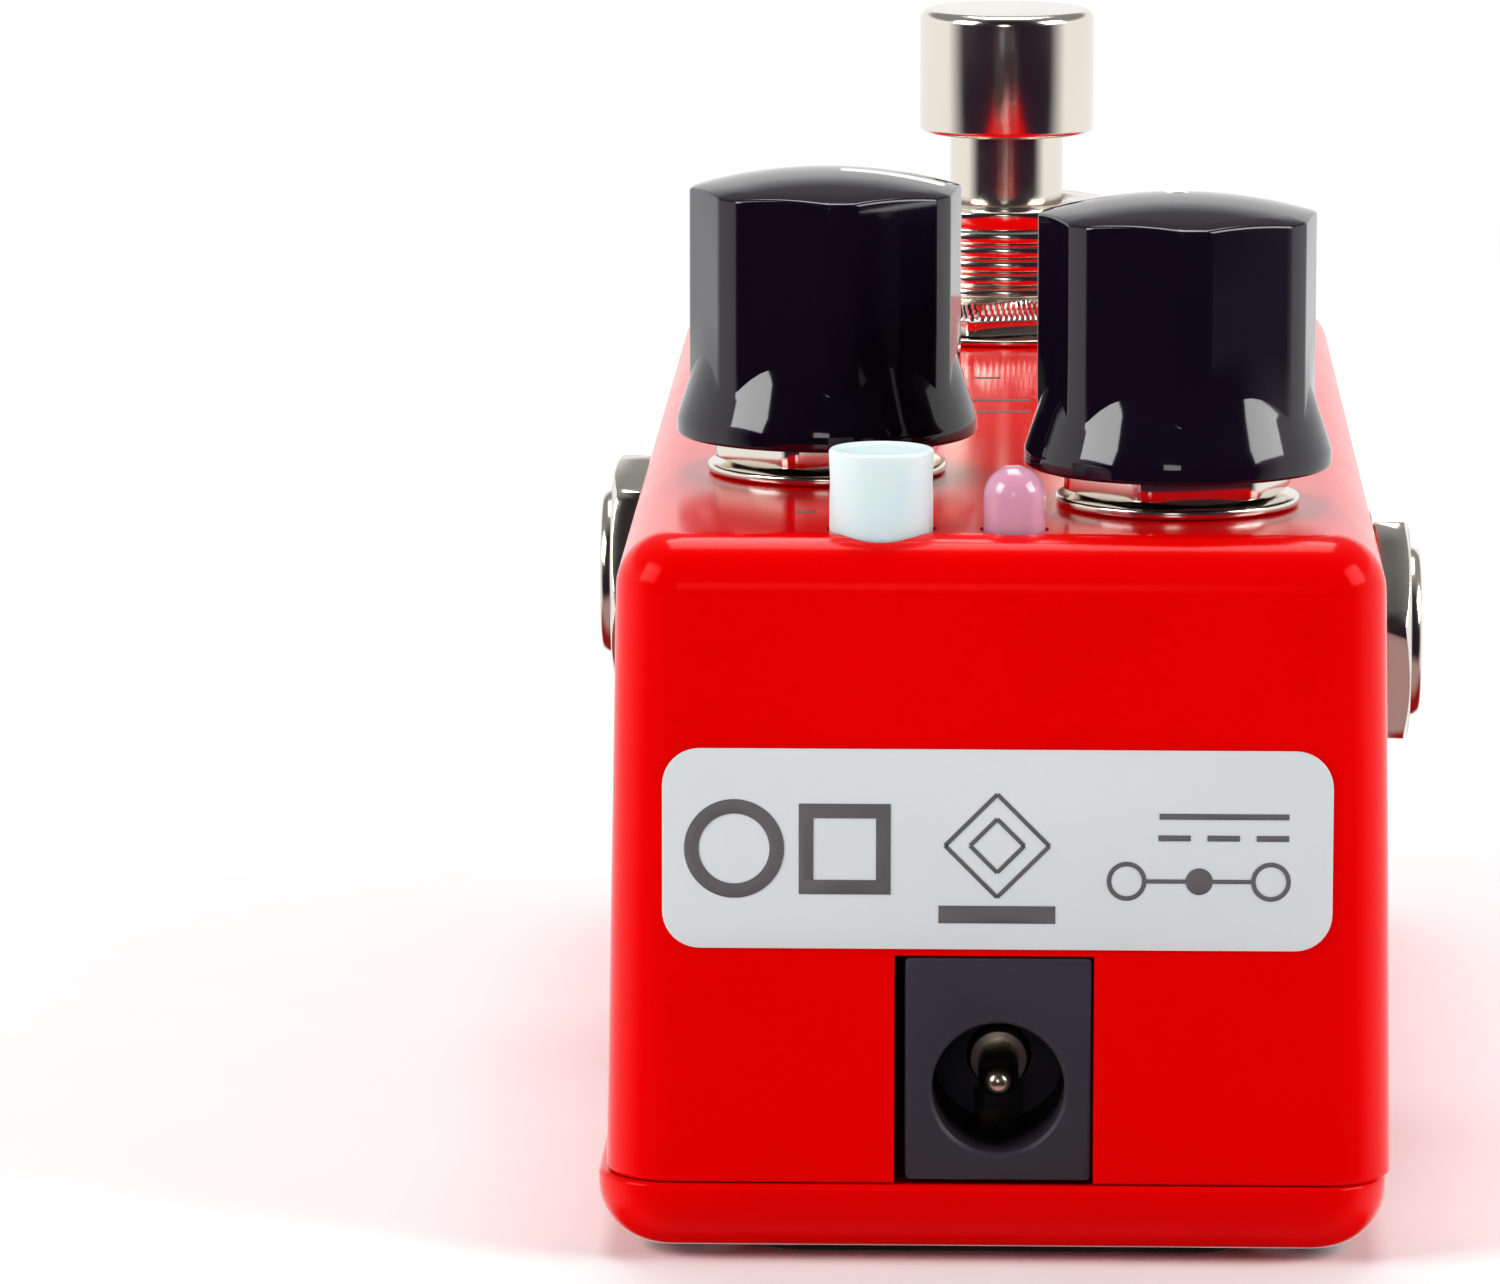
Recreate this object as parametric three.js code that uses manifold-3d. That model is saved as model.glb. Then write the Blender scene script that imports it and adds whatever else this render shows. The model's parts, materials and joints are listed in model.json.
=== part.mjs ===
// A compact guitar effects pedal with two knobs, a push button, a lamp and a footswitch.
// Millimetres, +Z up. The origin is the middle of the underside of the base pad.
// The power socket is in the end wall at -Y and the footswitch is near the end wall at +Y.

import * as THREE from "three";
import { mergeVertices } from "three/addons/utils/BufferGeometryUtils.js";
import Module from "manifold-3d";

const wasm = await Module();
wasm.setup();

// ---------------------------------------------------------------- driving dimensions

const FIT = 0.05; // gap between pieces that touch
const RUN = 0.25; // gap round a piece that slides or turns
const ROUND = 21; // sides of a round piece (a multiple of 7 suits the seven-sided knobs)

const LENGTH = 92; // box, along Y at the seam
const WIDTH = 38; // box, along X at the seam
const TOP_Z = 35.3; // flat top of the box
const SEAM_Z = 4.06; // where the body meets the lid
const LID_Z = 0.4; // underside of the lid
const DRAFT = 0.55; // how far each wall leans in between seam and top
const SIDE_WALL = 1.7;
const TOP_WALL = 2;
const BODY_CORNER = 3.3;
const BODY_FILLET = 2.7;
const LID_OVERHANG = 0.1; // lid outline beyond the body, on each side
const LID_SHIFT = -0.3; // the lid sits a little off centre
const LID_CORNER = 3.8;
const LID_FILLET = 3;
const LID_FLOOR = 1.8;

const PAD = { width: 24.6, length: 86, corner: 3, height: 0.8 };
const SCREW = { x: 14.8, y: 41.3, headR: 2.3, shankR: 0.95, length: 10, postR: 2.9 };
const LABEL = { width: 32.1, height: 9.7, corner: 1.8, thickness: 0.12, z: 20.45 };

const BOARD_THICKNESS = 1.5;
const MAIN_BOARD_Z = 15.25;
const CONTROL_BOARD_Z = 23.4;
const FOOT_BOARD_Z = 11.6;
const BOARD = { halfWidth: 16.2, noseHalfWidth: 11.3, noseY: -37.8, frontY: -43.6 };
const MAIN_BOARD_REAR_Y = 20.5;
const CONTROL_BOARD_REAR_Y = -16.9;

const POTS = {
  left: { x: -8.8, y: -22.7, facing: -6 }, // facing: where the pointer looks, degrees from +X
  right: { x: 8.6, y: -32.9, facing: 95 },
};
const POT = { width: 9.6, depth: 10.8, shaftR: 2.95, barrelR: 3.5, barrelTop: 39.6 };
const POT_WASHER = { r: 6, thickness: 0.45 };
const POT_NUT = { acrossFlats: 10, height: 2 };
const KNOB = {
  bottom: 37.25,
  height: 13.25,
  skirtR: 7.55,
  bandHeight: 0.8,
  skirtSlope: 18, // degrees from vertical
  flutes: 7,
  ridgeR: 6.9,
  ridgeHalfAngle: 5.5,
  domeR: 24.3,
};

const BUTTON = { x: -5.76, y: -41.35, r: 2.55, bottom: 33.95, top: 39.2 };
const SWITCH = { width: 5.8, depth: 4.6, top: 31.6, wall: 0.7 };
const LED = { x: 0.64, y: -41.4, r: 1.5, flangeR: 1.9, bottom: 31.4, top: 38.4 };

const JACK_Z = 24.95;
const JACK_Y = { right: -9, left: 9 };
const JACK = { boreR: 3.25, barrelR: 4.6, inner: -10.8, outer: 16, barrelEnd: 21.6, plugEnd: -9.6 };
const JACK_NUT = { acrossFlats: 11.2, near: 19.1, far: 21, cornerAngle: -9.75 };
const POWER = { width: 9, bottom: 4.2, top: 15.2, front: -45.9, depth: 14, holeR: 3.2, axisZ: 8.76 };

const FOOT = { y: 31.25, capR: 4.87, capBottom: 46.4, capTop: 53.3, shaftR: 3.15, travel: 2.5 };
const FOOT_BARREL = { r: 5.95, bottom: 30.45, top: 42.5 };
const FOOT_NUT = { acrossFlats: 14, height: 1.95, cornerAngle: -103.6 };
const FOOT_WASHER = { r: 8.75, thickness: 0.35 };
const FOOT_CASE = { width: 16.8, bottom: 18.6, top: 29.5, floor: 1.4, cavityR: 6.2 };

// ---------------------------------------------------------------- solids

function solid(geometry) {
  const bare = geometry.clone();
  bare.deleteAttribute("normal");
  bare.deleteAttribute("uv");
  const merged = mergeVertices(bare, 1e-4);
  const mesh = new wasm.Mesh({
    numProp: 3,
    vertProperties: merged.attributes.position.array,
    triVerts: new Uint32Array(merged.index.array),
  });
  return new wasm.Manifold(mesh);
}

function geometryOf(body) {
  const mesh = body.getMesh();
  const geometry = new THREE.BufferGeometry();
  geometry.setAttribute("position", new THREE.BufferAttribute(mesh.vertProperties, 3));
  geometry.setIndex(new THREE.BufferAttribute(mesh.triVerts, 1));
  return geometry;
}

function cut(geometry, ...tools) {
  return geometryOf(tools.reduce((rest, tool) => rest.subtract(solid(tool)), solid(geometry)));
}

function join(geometry, ...others) {
  return geometryOf(others.reduce((sum, other) => sum.add(solid(other)), solid(geometry)));
}

function common(geometry, other) {
  return geometryOf(solid(geometry).intersect(solid(other)));
}

// A solid of revolution about Z. The profile is [radius, height] pairs, up the outside.
function turned(profile, sides = ROUND) {
  const points = profile.map(([r, z]) => new THREE.Vector2(r, z));
  return new THREE.LatheGeometry(points, sides).rotateX(Math.PI / 2);
}

function rod(r, bottom, top, sides = ROUND) {
  return turned([[0, bottom], [r, bottom], [r, top], [0, top]], sides);
}

function ring(outerR, innerR, bottom, top, sides = ROUND) {
  const corners = [[innerR, bottom], [outerR, bottom], [outerR, top], [innerR, top]];
  return turned([...corners, corners[0]], sides);
}

function block(width, depth, bottom, top) {
  const box = new THREE.BoxGeometry(width, depth, top - bottom);
  return box.translate(0, 0, (bottom + top) / 2);
}

function slab(shape, bottom, top) {
  const options = { depth: top - bottom, bevelEnabled: false, curveSegments: 5 };
  return new THREE.ExtrudeGeometry(shape, options).translate(0, 0, bottom);
}

function outline(points) {
  return new THREE.Shape(points.map(([x, y]) => new THREE.Vector2(x, y)));
}

function roundedRectangle(width, length, radius) {
  const x = width / 2 - radius;
  const y = length / 2 - radius;
  const shape = new THREE.Shape();
  shape.absarc(x, y, radius, 0, Math.PI / 2);
  shape.absarc(-x, y, radius, Math.PI / 2, Math.PI);
  shape.absarc(-x, -y, radius, Math.PI, 1.5 * Math.PI);
  shape.absarc(x, -y, radius, 1.5 * Math.PI, 2 * Math.PI);
  return shape;
}

function hexagon(acrossFlats, cornerAngle = 0) {
  const radius = acrossFlats / 2 / Math.cos(Math.PI / 6);
  const start = THREE.MathUtils.degToRad(cornerAngle);
  const corners = Array.from({ length: 6 }, (_, i) => start + (i * Math.PI) / 3);
  return outline(corners.map((a) => [radius * Math.cos(a), radius * Math.sin(a)]));
}

// A hexagon nut about Z, its corners turned down by a shallow cone on the upper face.
function hexNut(acrossFlats, boreR, bottom, top, cornerAngle = 0) {
  const cornerR = acrossFlats / 2 / Math.cos(Math.PI / 6);
  const chamfer = (cornerR - acrossFlats / 2) / 2;
  const envelope = turned([
    [0, bottom - 1],
    [cornerR + 1, bottom - 1],
    [cornerR + 1, top - chamfer / 2 - 0.5],
    [acrossFlats / 2, top],
    [0, top],
  ]);
  const hex = slab(hexagon(acrossFlats, cornerAngle), bottom, top);
  return cut(common(hex, envelope), rod(boreR, bottom - 1, top + 1));
}

// A coil spring about Z: a round wire swept along a helix.
function coilSpring(radius, wireR, bottom, top, turns) {
  class Helix extends THREE.Curve {
    getPoint(t, target = new THREE.Vector3()) {
      const angle = 2 * Math.PI * turns * t;
      const z = THREE.MathUtils.lerp(bottom + wireR, top - wireR, t);
      return target.set(radius * Math.cos(angle), radius * Math.sin(angle), z);
    }
  }
  const wire = new THREE.Shape().absarc(0, 0, wireR, 0, 2 * Math.PI);
  const options = { steps: turns * 8, curveSegments: 5, extrudePath: new Helix() };
  return new THREE.ExtrudeGeometry(wire, options);
}

// Lean the walls of a box in from the seam upwards, as a die-cast box has for its mould.
function leanIn(geometry) {
  const position = geometry.attributes.position;
  for (let i = 0; i < position.count; i += 1) {
    const rise = (position.getZ(i) - SEAM_Z) / (TOP_Z - SEAM_Z);
    position.setX(i, position.getX(i) * (1 - (rise * DRAFT) / (WIDTH / 2)));
    position.setY(i, position.getY(i) * (1 - (rise * DRAFT) / (LENGTH / 2)));
  }
  return geometry;
}

// A rounded box between two heights, with the same fillet round its top and its bottom.
function filletedBox(width, length, corner, fillet, bottom, top) {
  const options = {
    depth: top - bottom - 2 * fillet,
    bevelSize: fillet,
    bevelOffset: -fillet,
    bevelThickness: fillet,
    bevelSegments: 3,
    curveSegments: 4,
  };
  const box = new THREE.ExtrudeGeometry(roundedRectangle(width, length, corner), options);
  return box.translate(0, 0, bottom + fillet);
}

// ---------------------------------------------------------------- the assembly

const pedal = new THREE.Group();
pedal.name = "guitar_effects_pedal";

function finish(color, roughness, metalness = 0) {
  return new THREE.MeshStandardMaterial({ color, roughness, metalness });
}

const FINISH = {
  redPaint: finish(0xd80606, 0.22),
  rubber: finish(0x1a1a1c, 0.85),
  labelFilm: finish(0xdfe3e5, 0.35, 0.2),
  boardGreen: finish(0x1f5a35, 0.5),
  blackPlastic: finish(0x2c2830, 0.5),
  glossBlack: finish(0x0c0a10, 0.12),
  whiteInk: finish(0xf4f4f2, 0.4),
  whitePlastic: finish(0xdcebee, 0.35),
  lampLens: finish(0xdcc4dc, 0.2),
  nickel: finish(0xcfc8bd, 0.18, 1),
  steel: finish(0x9ea0a3, 0.35, 1),
  brass: finish(0xc9a45c, 0.3, 1),
  capacitorSleeve: finish(0x27304a, 0.4),
  cableGrey: finish(0x8c8f94, 0.6),
};

function add(name, geometry, material, parent = pedal) {
  const mesh = new THREE.Mesh(geometry, material);
  mesh.name = name;
  parent.add(mesh);
  return mesh;
}

function station(x, y, turn = 0) {
  const group = new THREE.Group();
  group.position.set(x, y, 0);
  group.rotation.z = turn;
  pedal.add(group);
  return group;
}

const corners = [
  ["front_left", -1, -1],
  ["front_right", 1, -1],
  ["rear_left", -1, 1],
  ["rear_right", 1, 1],
];

function atCorners(makeTool) {
  return corners.map(([, sx, sy]) => makeTool().translate(sx * SCREW.x, sy * SCREW.y, 0));
}

// ---------------------------------------------------------------- box, lid and base

function addEnclosureBody() {
  const below = LID_Z - 4;
  const outer = leanIn(filletedBox(WIDTH, LENGTH, BODY_CORNER, BODY_FILLET, below, TOP_Z));
  const innerCorner = BODY_CORNER - SIDE_WALL + 0.4;
  const inner = leanIn(
    filletedBox(
      WIDTH - 2 * SIDE_WALL,
      LENGTH - 2 * SIDE_WALL,
      innerCorner,
      innerCorner - 0.4,
      below,
      TOP_Z - TOP_WALL,
    ),
  );
  const belowSeam = block(WIDTH + 10, LENGTH + 10, below - 1, SEAM_Z);
  const posts = atCorners(() => rod(SCREW.postR, SEAM_Z, TOP_Z - TOP_WALL / 2, 16));
  const pilots = atCorners(() => rod(SCREW.shankR + 0.15, SEAM_Z - 1, SEAM_Z + 10, 12));

  const through = [TOP_Z - 2 * TOP_WALL, TOP_Z + 1];
  const topHoles = [
    rod(POT.barrelR + RUN, ...through).translate(POTS.left.x, POTS.left.y, 0),
    rod(POT.barrelR + RUN, ...through).translate(POTS.right.x, POTS.right.y, 0),
    rod(BUTTON.r + RUN, ...through).translate(BUTTON.x, BUTTON.y, 0),
    rod(LED.r + RUN, ...through).translate(LED.x, LED.y, 0),
    rod(FOOT_BARREL.r + RUN, ...through).translate(0, FOOT.y, 0),
  ];
  const jackHole = () => rod(JACK.barrelR + RUN, 14, 22).rotateY(Math.PI / 2);
  const sideHoles = [
    jackHole().translate(0, JACK_Y.right, JACK_Z),
    jackHole().rotateZ(Math.PI).translate(0, JACK_Y.left, JACK_Z),
  ];
  // The power socket fills a slot in the end wall that runs down to the seam.
  const slotLeft = -POWER.width / 2 - 0.5;
  const slotRight = POWER.width / 2 + 0.1;
  const slot = block(slotRight - slotLeft, 6, SEAM_Z - 1, POWER.top + FIT);
  slot.translate((slotLeft + slotRight) / 2, -LENGTH / 2, 0);

  const shell = cut(outer, inner, belowSeam);
  const ribbed = join(shell, ...posts);
  const body = cut(ribbed, ...pilots, ...topHoles, ...sideHoles, slot);
  add("enclosure_body", body, FINISH.redPaint);
}

function addBottomLid() {
  const top = SEAM_Z - FIT;
  const width = WIDTH + 2 * LID_OVERHANG;
  const length = LENGTH + 2 * LID_OVERHANG;
  const tall = filletedBox(width, length, LID_CORNER, LID_FILLET, LID_Z, LID_Z + 12);
  const aboveSeam = block(width + 2, length + 2, top, LID_Z + 13);
  const rim = SIDE_WALL + LID_OVERHANG;
  const tray = roundedRectangle(width - 2 * rim, length - 2 * rim, LID_CORNER - rim);
  const floor = LID_Z + LID_FLOOR;
  const plate = cut(tall, aboveSeam, slab(tray, floor, top + 1)).translate(LID_SHIFT, 0, 0);
  const bosses = atCorners(() => rod(SCREW.postR + 0.6, floor - 0.5, top, 16));
  const countersink = [
    [0, LID_Z - 1],
    [SCREW.headR + FIT, LID_Z - 1],
    [SCREW.headR + FIT, LID_Z + 0.1],
    [SCREW.shankR + 0.2, LID_Z + 1.5],
    [SCREW.shankR + 0.2, top + 1],
    [0, top + 1],
  ];
  const screwHoles = atCorners(() => turned(countersink, 20));
  const padOutline = roundedRectangle(PAD.width + 0.4, PAD.length + 0.4, PAD.corner + 0.2);
  const padRecess = slab(padOutline, LID_Z - 1, PAD.height + FIT);
  const lid = cut(join(plate, ...bosses), ...screwHoles, padRecess);
  add("bottom_lid", lid, FINISH.redPaint);
}

function addBasePad() {
  const shape = roundedRectangle(PAD.width, PAD.length, PAD.corner);
  add("base_pad", slab(shape, 0, PAD.height), FINISH.rubber);
}

function addLidScrews() {
  const headBottom = LID_Z + 0.1;
  const recessDepth = 0.9;
  for (const [place, sx, sy] of corners) {
    const body = turned(
      [
        [0, headBottom],
        [SCREW.headR - 0.1, headBottom],
        [SCREW.shankR, headBottom + 1.35],
        [SCREW.shankR, headBottom + SCREW.length - 1],
        [0, headBottom + SCREW.length],
      ],
      20,
    );
    const slotA = block(2.6, 0.55, headBottom - 1, headBottom + recessDepth);
    const slotB = block(0.55, 2.6, headBottom - 1, headBottom + recessDepth);
    const spot = station(sx * SCREW.x, sy * SCREW.y);
    add(`lid_screw_${place}`, cut(body, slotA, slotB), FINISH.steel, spot);
  }
}

// The label lies on the leaning end wall above the power socket.
function addRatingLabel() {
  const plate = slab(
    roundedRectangle(LABEL.width, LABEL.height, LABEL.corner),
    FIT,
    FIT + LABEL.thickness,
  );
  const rise = (LABEL.z - SEAM_Z) / (TOP_Z - SEAM_Z);
  const lean = Math.atan(DRAFT / (TOP_Z - SEAM_Z));
  const label = add("rating_label", plate, FINISH.labelFilm);
  label.position.set(-0.1, -LENGTH / 2 + rise * DRAFT, LABEL.z);
  label.rotation.x = Math.PI / 2 - lean;
}

// ---------------------------------------------------------------- circuit boards

// A board that narrows at the front to pass between the screw posts.
function boardOutline(rearY) {
  const { halfWidth, noseHalfWidth, noseY, frontY } = BOARD;
  return outline([
    [-noseHalfWidth, frontY],
    [noseHalfWidth, frontY],
    [noseHalfWidth, noseY],
    [halfWidth, noseY],
    [halfWidth, rearY],
    [-halfWidth, rearY],
    [-halfWidth, noseY],
    [-noseHalfWidth, noseY],
  ]);
}

function addBoards() {
  const main = slab(boardOutline(MAIN_BOARD_REAR_Y), MAIN_BOARD_Z, MAIN_BOARD_Z + BOARD_THICKNESS);
  add("main_board", main, FINISH.boardGreen);
  const controlTop = CONTROL_BOARD_Z + BOARD_THICKNESS;
  const control = slab(boardOutline(CONTROL_BOARD_REAR_Y), CONTROL_BOARD_Z, controlTop);
  add("control_board", control, FINISH.boardGreen);
  const foot = block(20, 17.5, FOOT_BOARD_Z, FOOT_BOARD_Z + BOARD_THICKNESS);
  add("footswitch_board", foot, FINISH.boardGreen, station(0, FOOT.y));
}

// The upright strip of pins that joins the main board to the control board.
function addBoardHeader() {
  const bottom = MAIN_BOARD_Z + BOARD_THICKNESS + FIT;
  const top = CONTROL_BOARD_Z - FIT;
  const pins = [-2, -1, 0, 1, 2].map((i) => block(0.64, 0.64, bottom, top).translate(i * 2.54, 0, 0));
  const strip = join(block(12.7, 2.5, bottom, bottom + 2.5), block(12.7, 2.5, top - 2.5, top), ...pins);
  add("board_header", strip, FINISH.blackPlastic, station(0, -38.5));
}

function addAmplifierChip() {
  const foot = MAIN_BOARD_Z + BOARD_THICKNESS + FIT;
  const legs = [-1, 1].flatMap((side) =>
    [-1.5, -0.5, 0.5, 1.5].map((i) =>
      block(0.6, 1.2, foot, foot + 2.2).translate(i * 2.54, side * 3.5, 0),
    ),
  );
  const chip = join(block(9.6, 6.4, foot + 0.6, foot + 3.9), ...legs);
  add("amplifier_chip", chip, FINISH.blackPlastic, station(-8.5, -27));
}

function addFilterCapacitor() {
  const foot = MAIN_BOARD_Z + BOARD_THICKNESS + FIT;
  const can = turned(
    [
      [0, foot],
      [3.1, foot],
      [3.1, foot + 0.6],
      [2.85, foot + 0.9],
      [3.1, foot + 1.2],
      [3.1, foot + 5.6],
      [2.8, foot + 5.9],
      [0, foot + 5.9],
    ],
    20,
  );
  add("filter_capacitor", can, FINISH.capacitorSleeve, station(9.5, -26));
}

// The flat cable steps down from under the main board onto the footswitch board.
function addRibbonCable() {
  const width = 10;
  const thickness = 0.5;
  const high = MAIN_BOARD_Z - FIT;
  const low = FOOT_BOARD_Z + BOARD_THICKNESS + FIT + thickness;
  const side = new THREE.Shape();
  side.moveTo(15.5, high - thickness);
  side.lineTo(19.5, high - thickness);
  side.bezierCurveTo(21, high - thickness, 20.6, low - thickness, 22.2, low - thickness);
  side.lineTo(24.4, low - thickness);
  side.lineTo(24.4, low);
  side.lineTo(22.4, low);
  side.bezierCurveTo(21.2, low, 21.4, high, 19.7, high);
  side.lineTo(15.5, high);
  const cable = slab(side, -width / 2, width / 2);
  // The side view's axes become Y and Z, and the extrusion runs along X.
  cable.rotateX(Math.PI / 2).rotateZ(Math.PI / 2);
  add("ribbon_cable", cable, FINISH.cableGrey);
}

// ---------------------------------------------------------------- potentiometers and knobs

function knobBarrelOutline() {
  const { flutes, ridgeR, ridgeHalfAngle } = KNOB;
  const half = THREE.MathUtils.degToRad(ridgeHalfAngle);
  const shape = new THREE.Shape();
  // The pointer looks along +X, over the middle of a flat.
  for (let i = 0; i < flutes; i += 1) {
    const ridge = ((i + 0.5) * 2 * Math.PI) / flutes;
    shape.absarc(0, 0, ridgeR, ridge - half, ridge + half);
  }
  return shape;
}

function domeHeight(r) {
  return KNOB.height - KNOB.domeR + Math.sqrt(KNOB.domeR ** 2 - r ** 2);
}

function knobBody() {
  const { skirtR, bandHeight, skirtSlope } = KNOB;
  const hiddenR = 6;
  const slope = Math.tan(THREE.MathUtils.degToRad(skirtSlope));
  const skirtTop = bandHeight + (skirtR - hiddenR) / slope;
  const skirt = turned(
    [[0, 0], [skirtR - 0.15, 0], [skirtR, 0.15], [skirtR, bandHeight], [hiddenR, skirtTop], [0, skirtTop]],
    ROUND,
  );
  const crown = [8, 6, 4, 2].map((r) => [r, domeHeight(r)]);
  const dome = turned([[0, 0.5], [8, 0.5], ...crown, [0, KNOB.height]], ROUND);
  const options = { depth: KNOB.height, bevelEnabled: false, curveSegments: 2 };
  const barrel = new THREE.ExtrudeGeometry(knobBarrelOutline(), options);
  return join(skirt, common(barrel, dome));
}

// A potentiometer hangs under the top wall, and its knob turns above it.
function addPot(side) {
  const { x, y, facing } = POTS[side];
  const spot = station(x, y);
  const caseBottom = CONTROL_BOARD_Z + BOARD_THICKNESS + FIT;
  const caseTop = 32;
  const chamberR = 4.3;
  const chamber = rod(chamberR, caseBottom + 1.6, caseTop + 1);
  const housing = cut(block(POT.width, POT.depth, caseBottom, caseTop), chamber);
  add(`${side}_pot_case`, housing, FINISH.steel, spot);

  const flangeBottom = caseTop + FIT;
  const flangeTop = TOP_Z - TOP_WALL - FIT;
  const boreR = POT.shaftR + RUN;
  const bushing = turned([
    [boreR, flangeBottom],
    [4.7, flangeBottom],
    [4.7, flangeTop],
    [POT.barrelR, flangeTop],
    [POT.barrelR, POT.barrelTop - 0.4],
    [POT.barrelR - 0.25, POT.barrelTop],
    [boreR, POT.barrelTop],
    [boreR, flangeBottom],
  ]);
  add(`${side}_pot_bushing`, bushing, FINISH.nickel, spot);

  const washerTop = TOP_Z + FIT + POT_WASHER.thickness;
  const washer = ring(POT_WASHER.r, POT.barrelR + 0.15, TOP_Z + FIT, washerTop);
  add(`${side}_pot_washer`, washer, FINISH.nickel, spot);
  const nutBottom = washerTop + FIT;
  const nutTop = nutBottom + POT_NUT.height;
  const nut = hexNut(POT_NUT.acrossFlats, POT.barrelR + 0.15, nutBottom, nutTop, 12);
  add(`${side}_pot_nut`, nut, FINISH.nickel, spot);

  addKnob(side, spot, THREE.MathUtils.degToRad(facing), nutTop);
}

function addKnob(side, spot, facing, nutTop) {
  const turning = new THREE.Group();
  turning.rotation.z = facing;
  spot.add(turning);

  const shaftTop = 46;
  const rotor = CONTROL_BOARD_Z + BOARD_THICKNESS + 3;
  const shaft = turned([
    [0, rotor],
    [4, rotor],
    [4, rotor + 1.5],
    [POT.shaftR, rotor + 1.5],
    [POT.shaftR, shaftTop],
    [0, shaftTop],
  ]);
  const flat = block(3, 8, shaftTop - 5, shaftTop + 1).translate(-POT.shaftR, 0, 0);
  add(`${side}_pot_shaft`, cut(shaft, flat), FINISH.steel, turning);

  const nutRecess = rod(6.1, -1, nutTop - KNOB.bottom + 0.7);
  const bushingRecess = rod(POT.barrelR + 0.4, -1, POT.barrelTop - KNOB.bottom + 0.6);
  const shaftBore = rod(POT.shaftR + 0.1, -1, shaftTop - KNOB.bottom + 0.2);
  const grooveStart = 0.6;
  const grooveEnd = 6.1;
  const pointerWidth = 1.3;
  const grooveFloor = domeHeight(grooveEnd) - 0.4;
  const reach = grooveEnd - grooveStart;
  const middle = (grooveStart + grooveEnd) / 2;
  const groove = block(reach, pointerWidth, grooveFloor, KNOB.height + 1).translate(middle, 0, 0);
  const inset = 2 * FIT;
  const pointerBlock = block(
    reach - inset,
    pointerWidth - inset,
    grooveFloor + FIT,
    KNOB.height + 1,
  ).translate(middle, 0, 0);

  const body = knobBody();
  const knob = cut(body, nutRecess, bushingRecess, shaftBore, groove);
  add(`${side}_knob`, knob.translate(0, 0, KNOB.bottom), FINISH.glossBlack, turning);
  const pointer = common(body, pointerBlock);
  add(`${side}_knob_pointer`, pointer.translate(0, 0, KNOB.bottom), FINISH.whiteInk, turning);
}

// ---------------------------------------------------------------- push button and lamp

function addPushButton() {
  const spot = station(BUTTON.x, BUTTON.y);
  const stemWidth = 2.4;
  const holeWidth = stemWidth + 2 * RUN;
  const socketTop = 37.2;
  const cap = turned([
    [0, BUTTON.bottom],
    [BUTTON.r, BUTTON.bottom],
    [BUTTON.r, BUTTON.top - 0.25],
    [BUTTON.r - 0.25, BUTTON.top],
    [0, BUTTON.top],
  ]);
  const socket = block(holeWidth, holeWidth, BUTTON.bottom - 1, socketTop);
  add("button_cap", cut(cap, socket), FINISH.whitePlastic, spot);

  const caseBottom = CONTROL_BOARD_Z + BOARD_THICKNESS + FIT;
  const floor = caseBottom + SWITCH.wall;
  const ceiling = SWITCH.top - SWITCH.wall;
  const chamberWidth = SWITCH.depth - 2 * SWITCH.wall + 0.4;
  const housing = cut(
    block(SWITCH.width, SWITCH.depth, caseBottom, SWITCH.top),
    block(chamberWidth, chamberWidth, floor, ceiling),
    block(holeWidth, holeWidth, ceiling - 1, SWITCH.top + 1),
  );
  add("button_switch_case", housing, FINISH.blackPlastic, spot);

  const flangeTop = ceiling - FIT;
  const flangeBottom = flangeTop - 0.9;
  const stem = join(
    block(stemWidth, stemWidth, flangeBottom, socketTop - 0.3),
    block(chamberWidth - 2 * RUN, chamberWidth - 2 * RUN, flangeBottom, flangeTop),
  );
  add("button_plunger", stem, FINISH.blackPlastic, spot);
  const spring = coilSpring(1.1, 0.16, floor + FIT, flangeBottom - FIT, 4);
  add("button_spring", spring, FINISH.steel, spot);
}

function addLamp() {
  const spot = station(LED.x, LED.y);
  const domeBase = LED.top - LED.r;
  const dome = [1, 2, 3].map((i) => {
    const angle = (i * Math.PI) / 8;
    return [LED.r * Math.cos(angle), domeBase + LED.r * Math.sin(angle)];
  });
  const lens = turned([
    [0, LED.bottom],
    [LED.flangeR, LED.bottom],
    [LED.flangeR, LED.bottom + 1],
    [LED.r, LED.bottom + 1],
    [LED.r, domeBase],
    ...dome,
    [0, LED.top],
  ]);
  add("lamp_lens", lens, FINISH.lampLens, spot);
  const foot = CONTROL_BOARD_Z + BOARD_THICKNESS + FIT;
  const lead = () => block(0.5, 0.5, foot, LED.bottom - FIT);
  add("lamp_lead_positive", lead().translate(1.27, 0, 0), FINISH.steel, spot);
  add("lamp_lead_negative", lead().translate(-1.27, 0, 0), FINISH.steel, spot);
}

// ---------------------------------------------------------------- audio sockets

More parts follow.
